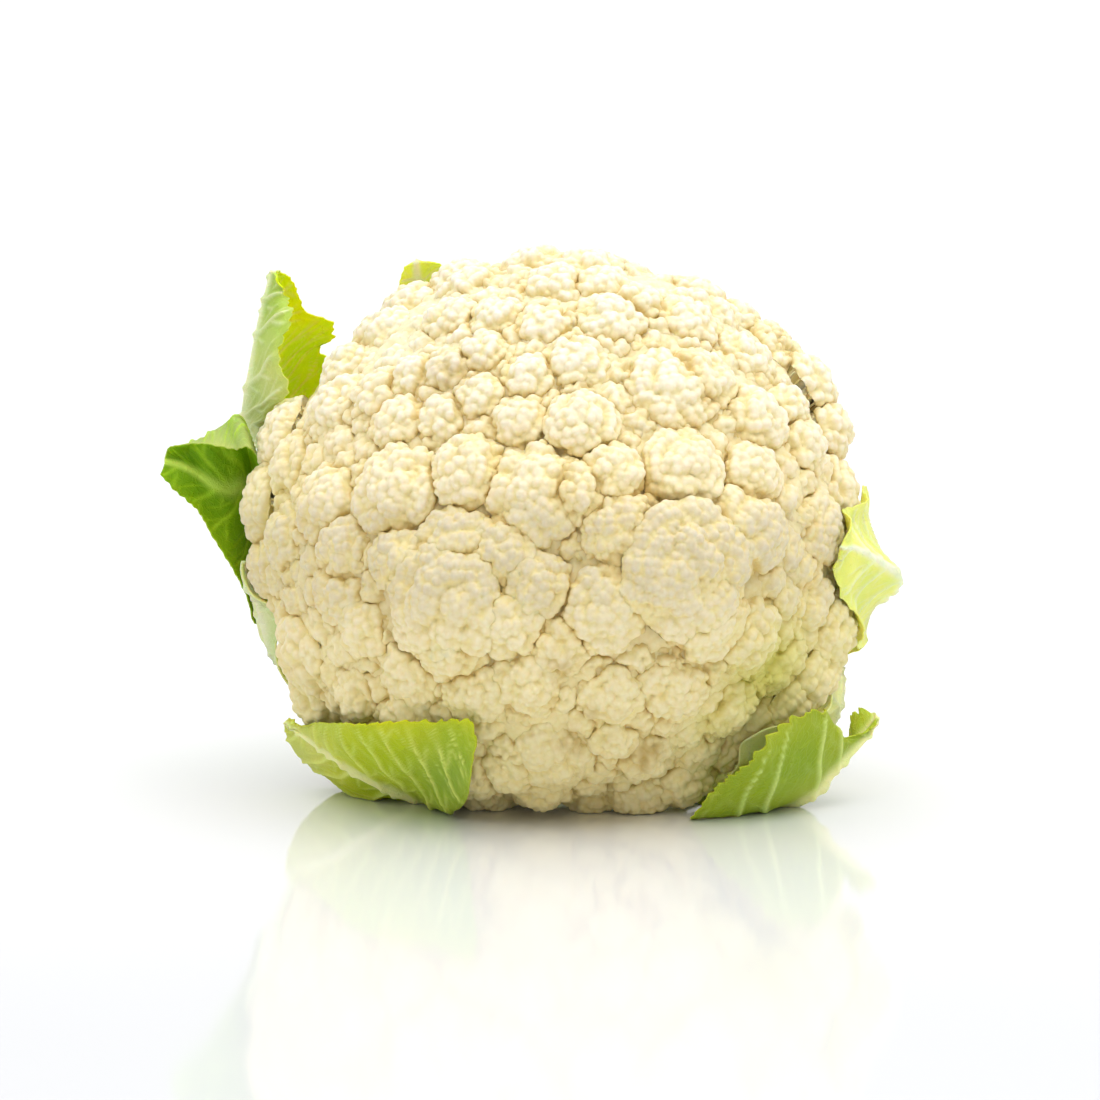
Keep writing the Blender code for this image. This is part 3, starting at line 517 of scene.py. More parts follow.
def lobeParts(index, centres, radii, names, seed):
    # One lobe: a dome of knobs and curdlets, each a field of caps added to the ball's radius. It draws in
    # towards its neighbours by pinch * exp(-distance / reach), runs softly into those of its own floret,
    # and its rim runs down a tapering stalk to the head's root.
    centre, radius = centres[index], radii[index]
    draw = np.random.default_rng(seed)
    out = outward(centre)
    small = names[index].startswith("between")
    depth = curd["crevice"] + curd["deeper"] * smoothStep(10, -10, centre @ fore)
    depth = between["depth"] if small else depth
    spread = math.acos(max(1 - depth / radius, -0.25))
    spacing = curd["spacing"] if out @ toViewer > curd["turnedAway"] else curd["spacingBehind"]
    spacing = max(spacing, between["spacing"]) if small else spacing
    side = radius * math.sqrt(fullTurn * (1 - math.cos(spread)))
    count = max(18, int(side / spacing))
    line = np.linspace(-1, 1, count)
    plane = np.meshgrid(line, line, indexing="ij")
    local = domeDirections(plane[0], plane[1], spread).reshape(-1, 3)
    sideways = unit(np.cross(out, (0.3, 0.5, 0.8)))
    directions = local @ np.stack((sideways, np.cross(out, sideways), out))
    plane = [p.ravel() for p in plane]
    knobCell = float(np.clip(curd["knobShare"] * radius, *curd["knobCell"]))
    knobs = bumps(plane, spread, radius, knobCell, curd["knobTight"], draw)
    curdlets = bumps(plane, spread, radius, curd["curdletCell"], curd["curdletTight"], draw)
    lengths = radius + curd["rise"] + curd["knobHeight"] * knobCell * (knobs - 1)
    lengths += curd["curdletHeight"] * curd["curdletCell"] * (curdlets - 1)
    apart = np.linalg.norm(centres - centre, axis=1)
    near = (apart < radii + radius + 4) & (apart > 0)
    akin = np.array([name == names[index] and name in merging for name in names])
    points = centre + directions * lengths[:, None]
    clear = nearest(points, centres[near & ~akin], radii[near & ~akin])
    lengths -= curd["pinch"] * np.exp(-np.maximum(clear, -1.0) / curd["pinchReach"])
    soft = merging.get(names[index], 1.0)
    clear = nearest(points, centres[near & akin], radii[near & akin])
    lengths += np.maximum(soft - np.abs(clear), 0)**2 / (4 * soft)
    points = centre + directions * lengths[:, None]
    clear = nearest(points, centres[near & ~akin], radii[near & ~akin])
    clear = np.minimum(clear, nearest(points, centres[near & akin], radii[near & akin]) + 0.8)
    # hollow and crevice say how deep a point lies, and curdTone paints shade there
    hollow = 1.5 * (1 - knobs)**2 + 2.0 * (1 - curdlets)**1.4
    rim = gridRim(count, count)
    steps = np.array(curd["stalkSteps"] if centre @ fore < curd["nearCrown"] else curd["stalkStep"])
    rimMiddle = points[rim].mean(0)
    root = -fore * (head["underside"] - 4)
    girth = np.linalg.norm(points[rim] - rimMiddle, axis=1).mean()
    narrow = mix(1.0, curd["stalkEnd"] / girth, np.minimum(steps * 1.6, 1)**0.8)
    middles = mix(rimMiddle, root, steps[:, None])
    stalk = middles[:, None] + (points[rim] - rimMiddle) * narrow[:, None, None]
    whole = np.concatenate([points, stalk.reshape(-1, 3), middles[-1:]])
    quads = [gridQuads(count, count)]
    ring, after = rim, np.roll(rim, -1)
    for k in range(len(steps)):
        lower = len(points) + k * len(rim) + np.arange(len(rim))
        lowerAfter = np.roll(lower, -1)
        quads.append(np.stack((ring, lower, lowerAfter, after), 1)[:, ::-1])
        ring, after = lower, lowerAfter
    last = np.full(len(rim), len(whole) - 1)
    triangles = np.stack((ring, last, after), 1)[:, ::-1]
    extra = len(whole) - len(points)
    hollow = np.concatenate([hollow, np.zeros(extra)])
    crevice = np.concatenate([clear, np.full(extra, 3.0)])
    bare = np.concatenate([np.zeros(len(points)), np.ones(extra)])
    return whole, np.concatenate(quads), triangles, hollow, crevice, bare


def nearest(points, centres, radii):
    # How far each point is outside the nearest of these balls
    found = np.full(len(points), 99.0)
    for centre, radius in zip(centres, radii):
        found = np.minimum(found, np.linalg.norm(points - centre, axis=1) - radius - 0.4)
    return found


def joined(parts):
    # Several closed shapes as one set of arrays
    points, quads, triangles, hollow, crevice, bare = zip(*parts)
    first = np.cumsum([0] + [len(p) for p in points[:-1]])
    quads = [q + f for q, f in zip(quads, first)]
    triangles = [t + f for t, f in zip(triangles, first)]
    return [np.concatenate(x) for x in (points, quads, triangles, hollow, crevice, bare)]


def ovalReach(directions, inset):
    # How far the head's oval, shrunk by inset, reaches along each direction
    wide, high = head["halfWidth"] - inset, head["halfHeight"] - inset
    along = directions @ fore
    return 1 / np.sqrt((1 - along**2) / wide**2 + along**2 / high**2)


# The floor of the crevices. The relief is (cell, height) of its two sizes of caps.
core = {"spread": 118.0, "count": 292, "curdlets": (3.2, 1.6), "knobs": (7.0, 2.8), "radius": 70.0,
        "tight": 0.7, "crevice": 0.6, "seed": 5, "toneSeed": 9}


def makeCore(material):
    # The head's oval shrunk by a depth, with knobs and curdlets added, closed to a point under the rim
    spread, count = math.radians(core["spread"]), core["count"]
    line = np.linspace(-1, 1, count)
    plane = [p.ravel() for p in np.meshgrid(line, line, indexing="ij")]
    directions = domeDirections(plane[0], plane[1], spread) @ np.stack((right, up, fore))
    draw = np.random.default_rng(core["seed"])
    curdlets = bumps(plane, spread, core["radius"], core["curdlets"][0], core["tight"], draw)
    knobs = bumps(plane, spread, core["radius"], core["knobs"][0], core["tight"], draw)
    lengths = ovalReach(directions, curd["coreInset"])
    lengths = lengths + core["curdlets"][1] * (curdlets - 1) + core["knobs"][1] * (knobs - 1)
    points = directions * lengths[:, None]
    rim = gridRim(count, count)
    root = -fore * (head["underside"] - 2)
    below = mix(points[rim], root, 0.35)
    below = below - 0.4 * (below - (below @ fore)[:, None] * fore)
    whole = np.concatenate([points, below, [root]])
    lower = len(points) + np.arange(len(rim))
    quads = np.stack((rim, lower, np.roll(lower, -1), np.roll(rim, -1)), 1)[:, ::-1]
    triangles = np.stack((lower, np.full(len(rim), len(whole) - 1), np.roll(lower, -1)), 1)[:, ::-1]
    extra = len(whole) - len(points)
    bare = np.concatenate([np.zeros(len(points)), np.ones(extra)])
    hollow = np.concatenate([1 - curdlets, np.zeros(extra)])
    # A fixed crevice distance and the hollows between curdlets give the whole core painted shade
    tone = curdTone(whole, hollow, np.full(len(whole), core["crevice"]), bare, core["toneSeed"])
    place = whole + head["centre"]
    place[:, 2] = np.maximum(place[:, 2], 0.5)
    piece = newPiece("curd_core", place, np.concatenate([gridQuads(count, count), quads]), triangles,
                     material, tone)
    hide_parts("curd")


def makeCurd(centres, radii, names, material):
    # A piece for each floret, of its lobes, and the core under them all
    total = 0
    for k, floret in enumerate(dict.fromkeys(names)):
        group = [i for i, name in enumerate(names) if name == floret]
        parts = [lobeParts(i, centres, radii, names, curd["lobeSeed"] + i) for i in group]
        points, quads, triangles, hollow, crevice, bare = joined(parts)
        place = points + head["centre"]
        place[:, 2] = np.maximum(place[:, 2], 0)
        tone = curdTone(points, hollow, crevice, bare, curd["toneSeed"] + k)
        piece = newPiece("curd_" + floret, place, quads, triangles, material, tone)
        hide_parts("curd")
        faces = 2 * len(quads) + len(triangles)
        total += faces
        print("curd_" + floret, len(group), "lobes", faces, "triangles")
    makeCore(material)
    print("curd lobes:", total, "triangles")


# Stem

stem = {
    "radius": 23.0,
    "flare": 3.0,
    "top": -42.0,        # along the growing axis, from the head's centre
    "end": -84.0,
    "bevel": 4.0,
    "turns": 150,        # points round it, down it, and in to the middle of the cut end
    "rows": 80,
    "rings": 26,
    "taper": 1.0,
    "dip": 0.9,          # of the cut end in its middle
    "scars": 3,
    "scarRise": 1.3,
    "skin": (0.66, 0.71, 0.42),
    "pale": (0.86, 0.86, 0.66),
    "cut": (0.90, 0.89, 0.72),
    "woody": (0.66, 0.60, 0.36),
}


def makeStem(material):
    # A turned stub: its radius shrinks down from the flare and round the bevel, and swells in leaf scars
    # that wind round it. The cut end is a disc of rings that dips a little in the middle.
    turns, rows, rings = stem["turns"], stem["rows"], stem["rings"]
    turn = np.arange(turns) * fullTurn / turns
    depth = np.linspace(0, 1, rows)
    along = mix(stem["top"], stem["end"], depth)
    toEnd = along - stem["end"]
    radius = stem["radius"] - stem["taper"] * depth + stem["flare"] * np.exp(-depth * 7)
    radius -= stem["bevel"] * np.maximum(1 - toEnd / 4.0, 0)**2
    slope = stem["scars"] * turn[None, :] + along[:, None] * 0.35
    ridge = np.maximum(np.sin(slope), 0)**6 * smoothStep(3, 8, toEnd)[:, None]
    ridge = ridge * smoothStep(1, 0.85, depth)[:, None]
    ribs = 0.25 * np.sin(turn * 19 + 2 * np.sin(turn * 3))[None, :] + 0.3 * np.sin(turn * 5)[None, :]
    wide = radius[:, None] + stem["scarRise"] * ridge + ribs * smoothStep(0, 3, toEnd)[:, None]
    ray = np.cos(turn)[:, None] * right + np.sin(turn)[:, None] * up
    side = wide[..., None] * ray + along[:, None, None] * fore
    inward = np.linspace(1, 0, rings + 1)[1:-1]
    dip = stem["dip"] * (1 - inward**2) + 0.15 * np.sin(inward * 46)
    flat = (wide[-1][None, :] * inward[:, None])[..., None] * ray
    flat = flat + (stem["end"] + dip)[:, None, None] * fore
    cap = np.concatenate([[stem["top"] * fore], [(stem["end"] + 1.0) * fore]])
    body = np.concatenate([side, flat]).reshape(-1, 3)
    points = np.concatenate([body, cap])
    grid = np.arange(len(body)).reshape(-1, turns)
    after = np.roll(grid, -1, axis=1)
    quads = np.stack((grid[:-1], grid[1:], after[1:], after[:-1]), -1).reshape(-1, 4)
    top = np.stack((np.full(turns, len(body)), grid[0], after[0]), 1)
    end = np.stack((np.full(turns, len(body) + 1), after[-1], grid[-1]), 1)
    colour = {k: np.array(stem[k]) for k in ("skin", "pale", "cut", "woody")}
    sideTone = mix(colour["pale"], colour["skin"], smoothStep(0.1, 0.7, depth)[:, None, None] * 0.8)
    sideTone = mix(sideTone, colour["cut"], (0.7 * ridge)[..., None])
    woodyRing = np.exp(-((inward - 0.78) / 0.07)**2)[:, None, None]
    flatTone = mix(colour["cut"], colour["woody"], woodyRing * 0.5)
    tone = np.concatenate([sideTone, np.broadcast_to(flatTone, flat.shape)]).reshape(-1, 3)
    tone = np.concatenate([tone, [colour["pale"], colour["cut"]]])
    piece = newPiece("stem_stub", points + head["centre"], quads, np.concatenate([top, end]), material,
                     tone)
    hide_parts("stem")
    print("stem_stub", 2 * len(quads) + 2 * turns, "triangles")


# Leaves

sheet = {
    "blade": 1.0,            # thickness in the middle
    "edge": 0.45,            # and at the edge
    "ribHeight": 3.4,
    "ribWidth": 4.0,
    "ribTaper": 0.8,
    "camber": 0.10,
    "inner": -58.0,          # where inner and outer leaves join the stem, along its axis
    "outer": -70.0,
    "baseOut": 28.5,
    "baseWidth": 12.0,
    "veinHeight": 0.7,
    "veinWidth": 0.85,
    "veinStep": 12.0,
    "veinLean": 0.6,         # how far a side vein runs towards the tip on its way out
    "veinBend": 0.008,
    "forkStep": 8.5,         # between the forks of a side vein
    "forkWidth": 0.52,
    "teeth": (5.6, 2.6),     # length of a large and a small tooth
    "toothSlopes": (0.7, 0.3),   # shares of a tooth that rise and drop
    "toothHeights": (1.6, 0.8),
    "grown": (0.12, 0.4),    # where teeth, waves and veins set in, from the stem
    "paleBase": 0.3,         # how far the pale base reaches, as a share of the length
    "step": 0.76,            # of the fine grid on leaves in view
    "stepBehind": 1.1,       # and on the others
    "awayFrom": (-4.0, -16.0, 0.0),   # where the lowest leaves spread from, on the floor
    "overFloor": 0.55,
    "puff": 0.55,            # how far the blade swells between its veins
    "seed": 11,
}

# What every leaf has unless its own entry below says otherwise. A shade is a patch of colour (across, up,
# reach, colour) on the outer face; the dark one on leaf_lower_left is a painted shadow. A rib looks wider
# where ribThin is under one, and forks is the strength of the veins' forks. Without an innerVein the inner
# face takes the veinTone.
plainLeaf = dict(
    along=sheet["inner"], rows=12, columns=6, gap=2.6, teeth=0.0, wave=0.3, behind=False, slot="leaf_pale",
    outerTone=(0.58, 0.68, 0.3), innerTone=(0.6, 0.68, 0.28), baseTone=(0.8, 0.82, 0.54),
    veinTone=(0.78, 0.82, 0.5), innerVein=None, ribTone=(0.84, 0.86, 0.6), ribThin=0.7, forks=0.5,
    shades=[])

# Rails of each leaf from the stem to the tip. A station is the mid rib, the edge on the lower-angle side,
# the edge on the higher-angle side, then the two half-way points if the blade rolls. A reading is
# (step right, step down, mm behind the head's centre) in the viewer's picture.
leaves = {
    "leaf_upper_left": dict(
        angle=150, along=sheet["outer"], rows=26, columns=9, teeth=1.0, wave=0.8, slot="leaf_green",
        shades=[(-79, 64, 15, (0.36, 0.56, 0.05))],
        # The inner tone is lifted to a bright yellow-green as painted light shining through the leaf from
        # behind
        outerTone=(0.48, 0.58, 0.17), innerTone=(0.66, 0.95, 0.004), baseTone=(0.72, 0.76, 0.42),
        veinTone=(0.78, 0.84, 0.50), innerVein=(0.95, 0.95, 0.30), ribTone=(0.84, 0.88, 0.52),
        stations=[
            [(430, 520, 80), (446, 478, 84), (424, 556, 74), (436, 496, 84), (424, 542, 78)],
            [(338, 472, 78), (378, 425, 82), (332, 505, 68), (352, 446, 84), (328, 492, 74)],
            [(268, 446, 52), (322, 398, 54), (284, 452, 42), (292, 418, 60), (266, 450, 44)],
            [(251, 420, 32), (329, 366, 42), (270, 423, 18), (288, 386, 46), (258, 426, 20)],
            [(251, 400, 22), (319, 348, 36), (285, 407, 7), (284, 370, 38), (267, 405, 10)],
            [(255, 372, 20), (332, 338, 32), (288, 386, 1), (292, 346, 34), (271, 382, 5)],
            [(259, 346, 19), (329, 321, 28), (278, 354, 2), (294, 328, 30), (269, 352, 5)],
            [(264, 318, 18), (304, 313, 24), (291, 318, 6), (283, 310, 26), (278, 320, 7)],
            [(270, 291, 16), (291, 281, 18), (285, 296, 12), (280, 284, 20), (277, 294, 12)],
            [(274, 271, 15), (280, 273, 17), (278, 278, 11), (277, 271, 17), (276, 275, 13)]]),
    "leaf_left": dict(
        angle=182, rows=24, columns=9, teeth=0.8, wave=0.9, slot="leaf_green",
        outerTone=(0.36, 0.48, 0.12), innerTone=(0.19, 0.40, 0.002), baseTone=(0.66, 0.72, 0.38),
        veinTone=(0.46, 0.70, 0.03), ribTone=(0.62, 0.82, 0.12),
        stations=[
            [(404, 606, 66), (404, 574, 70), (404, 638, 60), (404, 590, 69), (404, 622, 64)],
            [(318, 566, 56), (322, 520, 62), (308, 640, 40), (320, 540, 61), (312, 606, 50)],
            [(264, 522, 38), (272, 486, 38), (262, 625, 20), (264, 500, 40), (262, 575, 31)],
            [(244, 487, 25), (252, 450, 0), (249, 598, 16), (242, 425, 14), (246, 545, 24)],
            [(230, 489, 21), (233, 450, 1), (231, 562, 14), (223, 428, 13), (232, 527, 20)],
            [(214, 484, 18), (212, 447, 3), (213, 534, 14), (206, 441, 13), (214, 510, 18)],
            [(200, 474, 17), (192, 446, 9), (198, 509, 14), (191, 448, 17), (200, 492, 17)],
            [(184, 465, 15), (177, 447, 11), (180, 492, 13), (179, 453, 16), (182, 478, 15)],
            [(165, 461, 14), (168, 449, 12), (163, 472, 12), (166, 455, 14), (164, 466, 14)]]),
    "leaf_left_under": dict(
        angle=208, behind=True,
        outerTone=(0.58, 0.68, 0.3), innerTone=(0.58, 0.66, 0.25), baseTone=(0.78, 0.8, 0.52),
        veinTone=(0.74, 0.8, 0.46), ribTone=(0.8, 0.82, 0.56),
        stations=[
            [(400, 690, 54), (404, 660, 58), (400, 715, 46)],
            [(316, 690, 32), (312, 650, 40), (330, 715, 16)],
            [(276, 650, 8), (268, 644, 14), (284, 652, 0)],
            [(266, 620, 4), (257, 616, 10), (284, 622, -2)],
            [(257, 588, 3), (251, 588, 8), (275, 594, 0)],
            [(250, 560, 4), (247, 562, 7), (255, 563, 2)]]),
    "leaf_lower_left": dict(
        angle=232, along=sheet["outer"], rows=26, columns=9, teeth=1.2, wave=1.0, slot="leaf_green",
        # The first shade is a painted shadow over the leaf's right part, the second a pale yellow patch
        shades=[(-26, -70, 13, (0.20, 0.36, 0.05)), (-71, -64, 9, (0.72, 0.72, 0.18))],
        outerTone=(0.43, 0.54, 0.01), innerTone=(0.43, 0.54, 0.02), baseTone=(0.76, 0.78, 0.42),
        veinTone=(0.76, 0.84, 0.20), ribTone=(0.95, 0.94, 0.45), ribThin=0.45,
        stations=[
            [(502, 738, 40), (488, 724, 44), (518, 752, 34)],
            [(472, 782, 12), (456, 772, 22), (484, 790, 4)],
            [(449, 801, -2), (434, 794, 14), (450, 809, -16)],
            [(430, 801, -8), (418, 796, 9), (468, 796, -46)],
            [(411, 794, -12), (404, 799, 8), (475, 728, -66)],
            [(388, 785, -16), (388, 801, 7), (435, 722, -58)],
            [(362, 773, -18), (366, 796, 8), (396, 723, -55)],
            [(336, 755, -18), (344, 781, 12), (358, 724, -47)],
            [(312, 739, -13), (320, 769, 12), (326, 724, -27)],
            [(297, 728, -8), (299, 754, 6), (303, 722, -13)],
            [(286, 721, -5), (287, 728, -1), (290, 718, -7)]]),
    "leaf_lower_right_inner": dict(
        angle=322, rows=18, wave=0.4,
        outerTone=(0.95, 0.90, 0.36), innerTone=(0.95, 0.90, 0.32), baseTone=(0.86, 0.82, 0.44),
        veinTone=(0.8, 0.8, 0.46), ribTone=(0.82, 0.82, 0.52),
        stations=[
            [(676, 716, 22), (660, 745, 16), (700, 700, 30)],
            [(722, 764, 8), (690, 784, -8), (762, 716, 30)],
            [(776, 768, -4), (722, 760, -25), (806, 706, 26)],
            [(818, 738, -8), (756, 734, -32), (826, 692, 20)],
            [(838, 702, -2), (808, 711, -26), (834, 680, 12)],
            [(839, 668, 2), (830, 676, -6), (840, 664, 5)]]),
    "leaf_lower_right": dict(
        angle=305, along=sheet["outer"], rows=26, columns=9, gap=6.0, teeth=1.7, wave=1.6,
        slot="leaf_green",
        outerTone=(0.28, 0.39, 0.02), innerTone=(0.42, 0.54, 0.04), baseTone=(0.76, 0.78, 0.42),
        veinTone=(0.66, 0.78, 0.24), ribTone=(0.95, 0.93, 0.45), ribThin=0.45, forks=0.15,
        stations=[
            [(672, 760, 14), (656, 770, 8), (690, 752, 22)],
            [(716, 796, -2), (690, 800, -10), (732, 780, 10)],
            [(752, 801, -10), (708, 806, -20), (764, 786, 2)],
            [(782, 802, -14), (690, 815, -33), (790, 780, 0)],
            [(803, 796, -17), (716, 788, -42), (812, 768, -2)],
            [(818, 786, -19), (748, 762, -46), (824, 754, -4)],
            [(831, 770, -19), (778, 728, -44), (830, 742, -6)],
            [(845, 755, -17), (817, 713, -33), (846, 736, -8)],
            [(858, 742, -15), (837, 738, -22), (848, 720, -10)],
            [(869, 729, -13), (858, 734, -16), (860, 709, -11)],
            [(877, 716, -12), (874, 722, -15), (872, 710, -10)]]),
    "leaf_right": dict(
        angle=356, rows=18, columns=7, teeth=0.6, wave=0.5,
        outerTone=(0.93, 0.92, 0.20), innerTone=(0.92, 0.90, 0.16), baseTone=(0.78, 0.78, 0.42),
        veinTone=(0.92, 0.93, 0.58), ribTone=(0.92, 0.94, 0.70), ribThin=2.0,
        stations=[
            [(770, 628, 40), (770, 650, 34), (770, 590, 48)],
            [(846, 612, 34), (846, 652, 22), (842, 560, 46)],
            [(884, 590, 18), (866, 640, 12), (864, 524, 34), (866, 614, 16), (864, 558, 27)],
            [(895, 577, 2), (857, 648, -6), (865, 487, 6), (866, 611, -1), (870, 532, 5)],
            [(874, 561, -16), (850, 626, -18), (852, 499, -8), (856, 594, -18), (857, 530, -13)],
            [(848, 548, -28), (838, 592, -28), (834, 514, -22)],
            [(824, 547, -33), (828, 562, -32), (827, 533, -31)]]),
    "leaf_top": dict(
        angle=122, teeth=0.8, wave=0.6,
        outerTone=(0.60, 0.78, 0.08), innerTone=(0.62, 0.80, 0.08), baseTone=(0.78, 0.8, 0.48),
        veinTone=(0.78, 0.8, 0.42), ribTone=(0.82, 0.84, 0.54),
        stations=[
            [(512, 470, 84), (535, 470, 86), (490, 480, 82)],
            [(468, 376, 86), (510, 360, 88), (430, 400, 82)],
            [(430, 308, 64), (468, 296, 62), (392, 322, 62)],
            [(418, 280, 46), (450, 270, 44), (397, 296, 46)],
            [(416, 262, 38), (428, 263, 38), (405, 267, 38)]]),
    "leaf_top_right": dict(
        angle=48, teeth=0.6, wave=0.5, behind=True,
        outerTone=(0.56, 0.66, 0.22), innerTone=(0.6, 0.66, 0.22), baseTone=(0.78, 0.8, 0.48),
        veinTone=(0.78, 0.82, 0.46), ribTone=(0.84, 0.86, 0.58),
        stations=[
            [(708, 500, 68), (730, 520, 64), (684, 488, 72)],
            [(770, 434, 66), (804, 462, 58), (728, 414, 74)],
            [(794, 386, 56), (822, 420, 50), (758, 362, 60)],
            [(784, 358, 46), (794, 370, 44), (774, 352, 46)]]),
    "leaf_back_right": dict(
        angle=18, along=sheet["outer"], gap=6.0, behind=True,
        stations=[
            [(746, 594, 58), (744, 620, 54), (744, 566, 62)],
            [(800, 570, 60), (804, 606, 54), (794, 534, 66)],
            [(832, 556, 52), (838, 586, 46), (824, 524, 58)]]),
    "leaf_back_upper": dict(
        angle=84, along=sheet["outer"], gap=6.0, behind=True,
        stations=[
            [(636, 512, 76), (664, 518, 74), (606, 510, 77)],
            [(648, 466, 86), (684, 476, 82), (612, 464, 88)],
            [(656, 428, 90), (686, 438, 86), (624, 426, 91)]]),
    "leaf_back_lower": dict(
        angle=268, along=-79.0, behind=True,
        stations=[
            [(572, 766, 40), (546, 764, 42), (600, 765, 38)],
            [(564, 772, 31), (534, 770, 33), (594, 771, 29)],
            [(557, 779, 24), (530, 776, 26), (584, 779, 22)]]),
}


def seenAt(reading):
    # A reading of the viewer's picture as a point from the head's centre
    x, y, depth = np.moveaxis(np.asarray(reading, float), -1, 0)
    step = viewer["step"] * (1 + depth / viewer["distance"])
    sideways, rise = (x - viewer["middle"][0]) * step, (viewer["middle"][1] - y) * step
    return sideways[..., None] * across + rise[..., None] * viewUp - depth[..., None] * toViewer


def atStem(angle, out, along, side):
    # Beside the stem: out from its axis, along it, and to the side
    a = math.radians(angle)
    ray = math.cos(a) * right + math.sin(a) * up
    return out * ray + along * fore + np.outer(side, math.cos(a) * up - math.sin(a) * right)


def smoothCurve(stations, count):
    # Catmull-Rom: between two stations the curve bends as a cubic through them and the ones beside them
    at = np.linspace(0, len(stations) - 1, count)
    i = np.minimum(at.astype(int), len(stations) - 2)
    u = (at - i).reshape((-1,) + (1,) * (stations.ndim - 1))
    before, here = stations[np.maximum(i - 1, 0)], stations[i]
    there, after = stations[i + 1], stations[np.minimum(i + 2, len(stations) - 1)]
    bend = (2 * before - 5 * here + 4 * there - after) * u**2
    turn = (3 * here - before - 3 * there + after) * u**3
    return here + 0.5 * ((there - before) * u + bend + turn)


def leafRails(leaf):
    # Mid, both edges and both half-way points, from inside the stem's skin to the tip
    angle, along, out = leaf["angle"], leaf["along"], sheet["baseOut"]
    side = sheet["baseWidth"] * np.array((0, -0.5, 0.5, -0.28, 0.28))
    rows = [atStem(angle, out - 7.5, along - 3, side * 1.1), atStem(angle, out, along, side),
            atStem(angle, out + 8, along + 4.8, side * 1.2)]
    for station in leaf["stations"]:
        mid, low, high = (seenAt(p) for p in station[:3])
        halves = [seenAt(p) for p in station[3:]]
        if not halves:
            halves = [(mid + edge) / 2 + sheet["camber"] * np.linalg.norm(edge - mid) * unit(mid)
                      for edge in (low, high)]
        rows.append(np.array([mid, low, high, *halves]))
    return np.array(rows)


def coarseSheet(leaf):
    # The blade's middle surface: across each row a quadratic curve from the mid rail to each edge
    rails = smoothCurve(leafRails(leaf), leaf["rows"] + 6)
    mid, low, high, lowHalf, highHalf = np.moveaxis(rails, 1, 0)
    v = np.linspace(-1, 1, leaf["columns"] + 1 - leaf["columns"] % 2)
    share = np.abs(v)[None, :, None]
    edge = np.where(v[None, :, None] < 0, low[:, None], high[:, None])
    half = np.where(v[None, :, None] < 0, lowHalf[:, None], highHalf[:, None])
    turn = 2 * half - (mid[:, None] + edge) / 2
    return (1 - share) ** 2 * mid[:, None] + 2 * share * (1 - share) * turn + share**2 * edge


def reach(directions, centres, radii):
    # How far the furthest of these balls reaches along each direction
    along = directions @ centres.T
    under = along**2 - (centres**2).sum(1) + radii**2
    return np.where(under > 0, along + np.sqrt(np.maximum(under, 0)), 0).max(1)


def shortfall(points, centres, radii, gap):
    # The direction of each point, and how far it is inside these balls grown by the gap
    length = np.linalg.norm(points, axis=1)
    directions = points / length[:, None]
    back = np.maximum(-(directions @ fore), 1e-6)
    least = np.minimum(reach(directions, centres, radii + gap), (head["underside"] + gap) / back)
    return directions, least - length


def keepClear(points, centres, radii, gap):
    # Out along their rays until they clear the lobes, and sideways where the floor stops them
    flat = points.reshape(-1, 3)
    directions, short = shortfall(flat, centres, radii, gap)
    flat = flat + directions * np.maximum(short, 0)[:, None]
    for _ in range(14):
        flat[:, 2] = np.maximum(flat[:, 2], sheet["overFloor"] - head["centre"][2])
        directions, short = shortfall(flat, centres, radii, gap)
        away = unit((flat - np.array(sheet["awayFrom"])) * (1, 1, 0))
        flat += away * np.clip(short, 0, 1)[:, None]
    return flat.reshape(points.shape)


def branchBalls(centres, radii):
    # Rows of balls along the branches from the stem to the lobes round the rim
    root = -fore * (head["underside"] - 8)
    low = centres @ fore <= -8
    share = np.linspace(0.15, 0.9, 6)[None, :, None]
    balls = root + (centres[low][:, None] - root) * share
    sizes = 7 + (0.8 * radii[low][:, None] - 7) * share[..., 0]
    return balls.reshape(-1, 3), sizes.ravel()


def squareTo(surface):
    # Directions square to a grid of points
    return unit(np.cross(np.gradient(surface, axis=0), np.gradient(surface, axis=1)) + 1e-12)


def toothEdge(length, seed):
    # Height of the teeth along an edge: rises towards the tip and drops, a small tooth on each large one
    draw = np.random.default_rng(seed)
    swing = 0.25 * np.sin(length / 9 + draw.uniform(0, 6))
    swing = swing + 0.15 * np.sin(length / 3.7 + draw.uniform(0, 6))
    large = (length / sheet["teeth"][0] + swing) % 1
    small = (length / sheet["teeth"][1] + 2 * swing) % 1
    rise, fall = sheet["toothSlopes"]
    tooth = np.minimum(large / rise, (1 - large) / fall)
    fine = np.minimum(small / rise, (1 - small) / fall)
    strength = 0.6 + 0.4 * np.sin(length / 14 + draw.uniform(0, 6))
    high, low = sheet["toothHeights"]
    return high * strength * (tooth - 0.4) + low * (fine - 0.4)


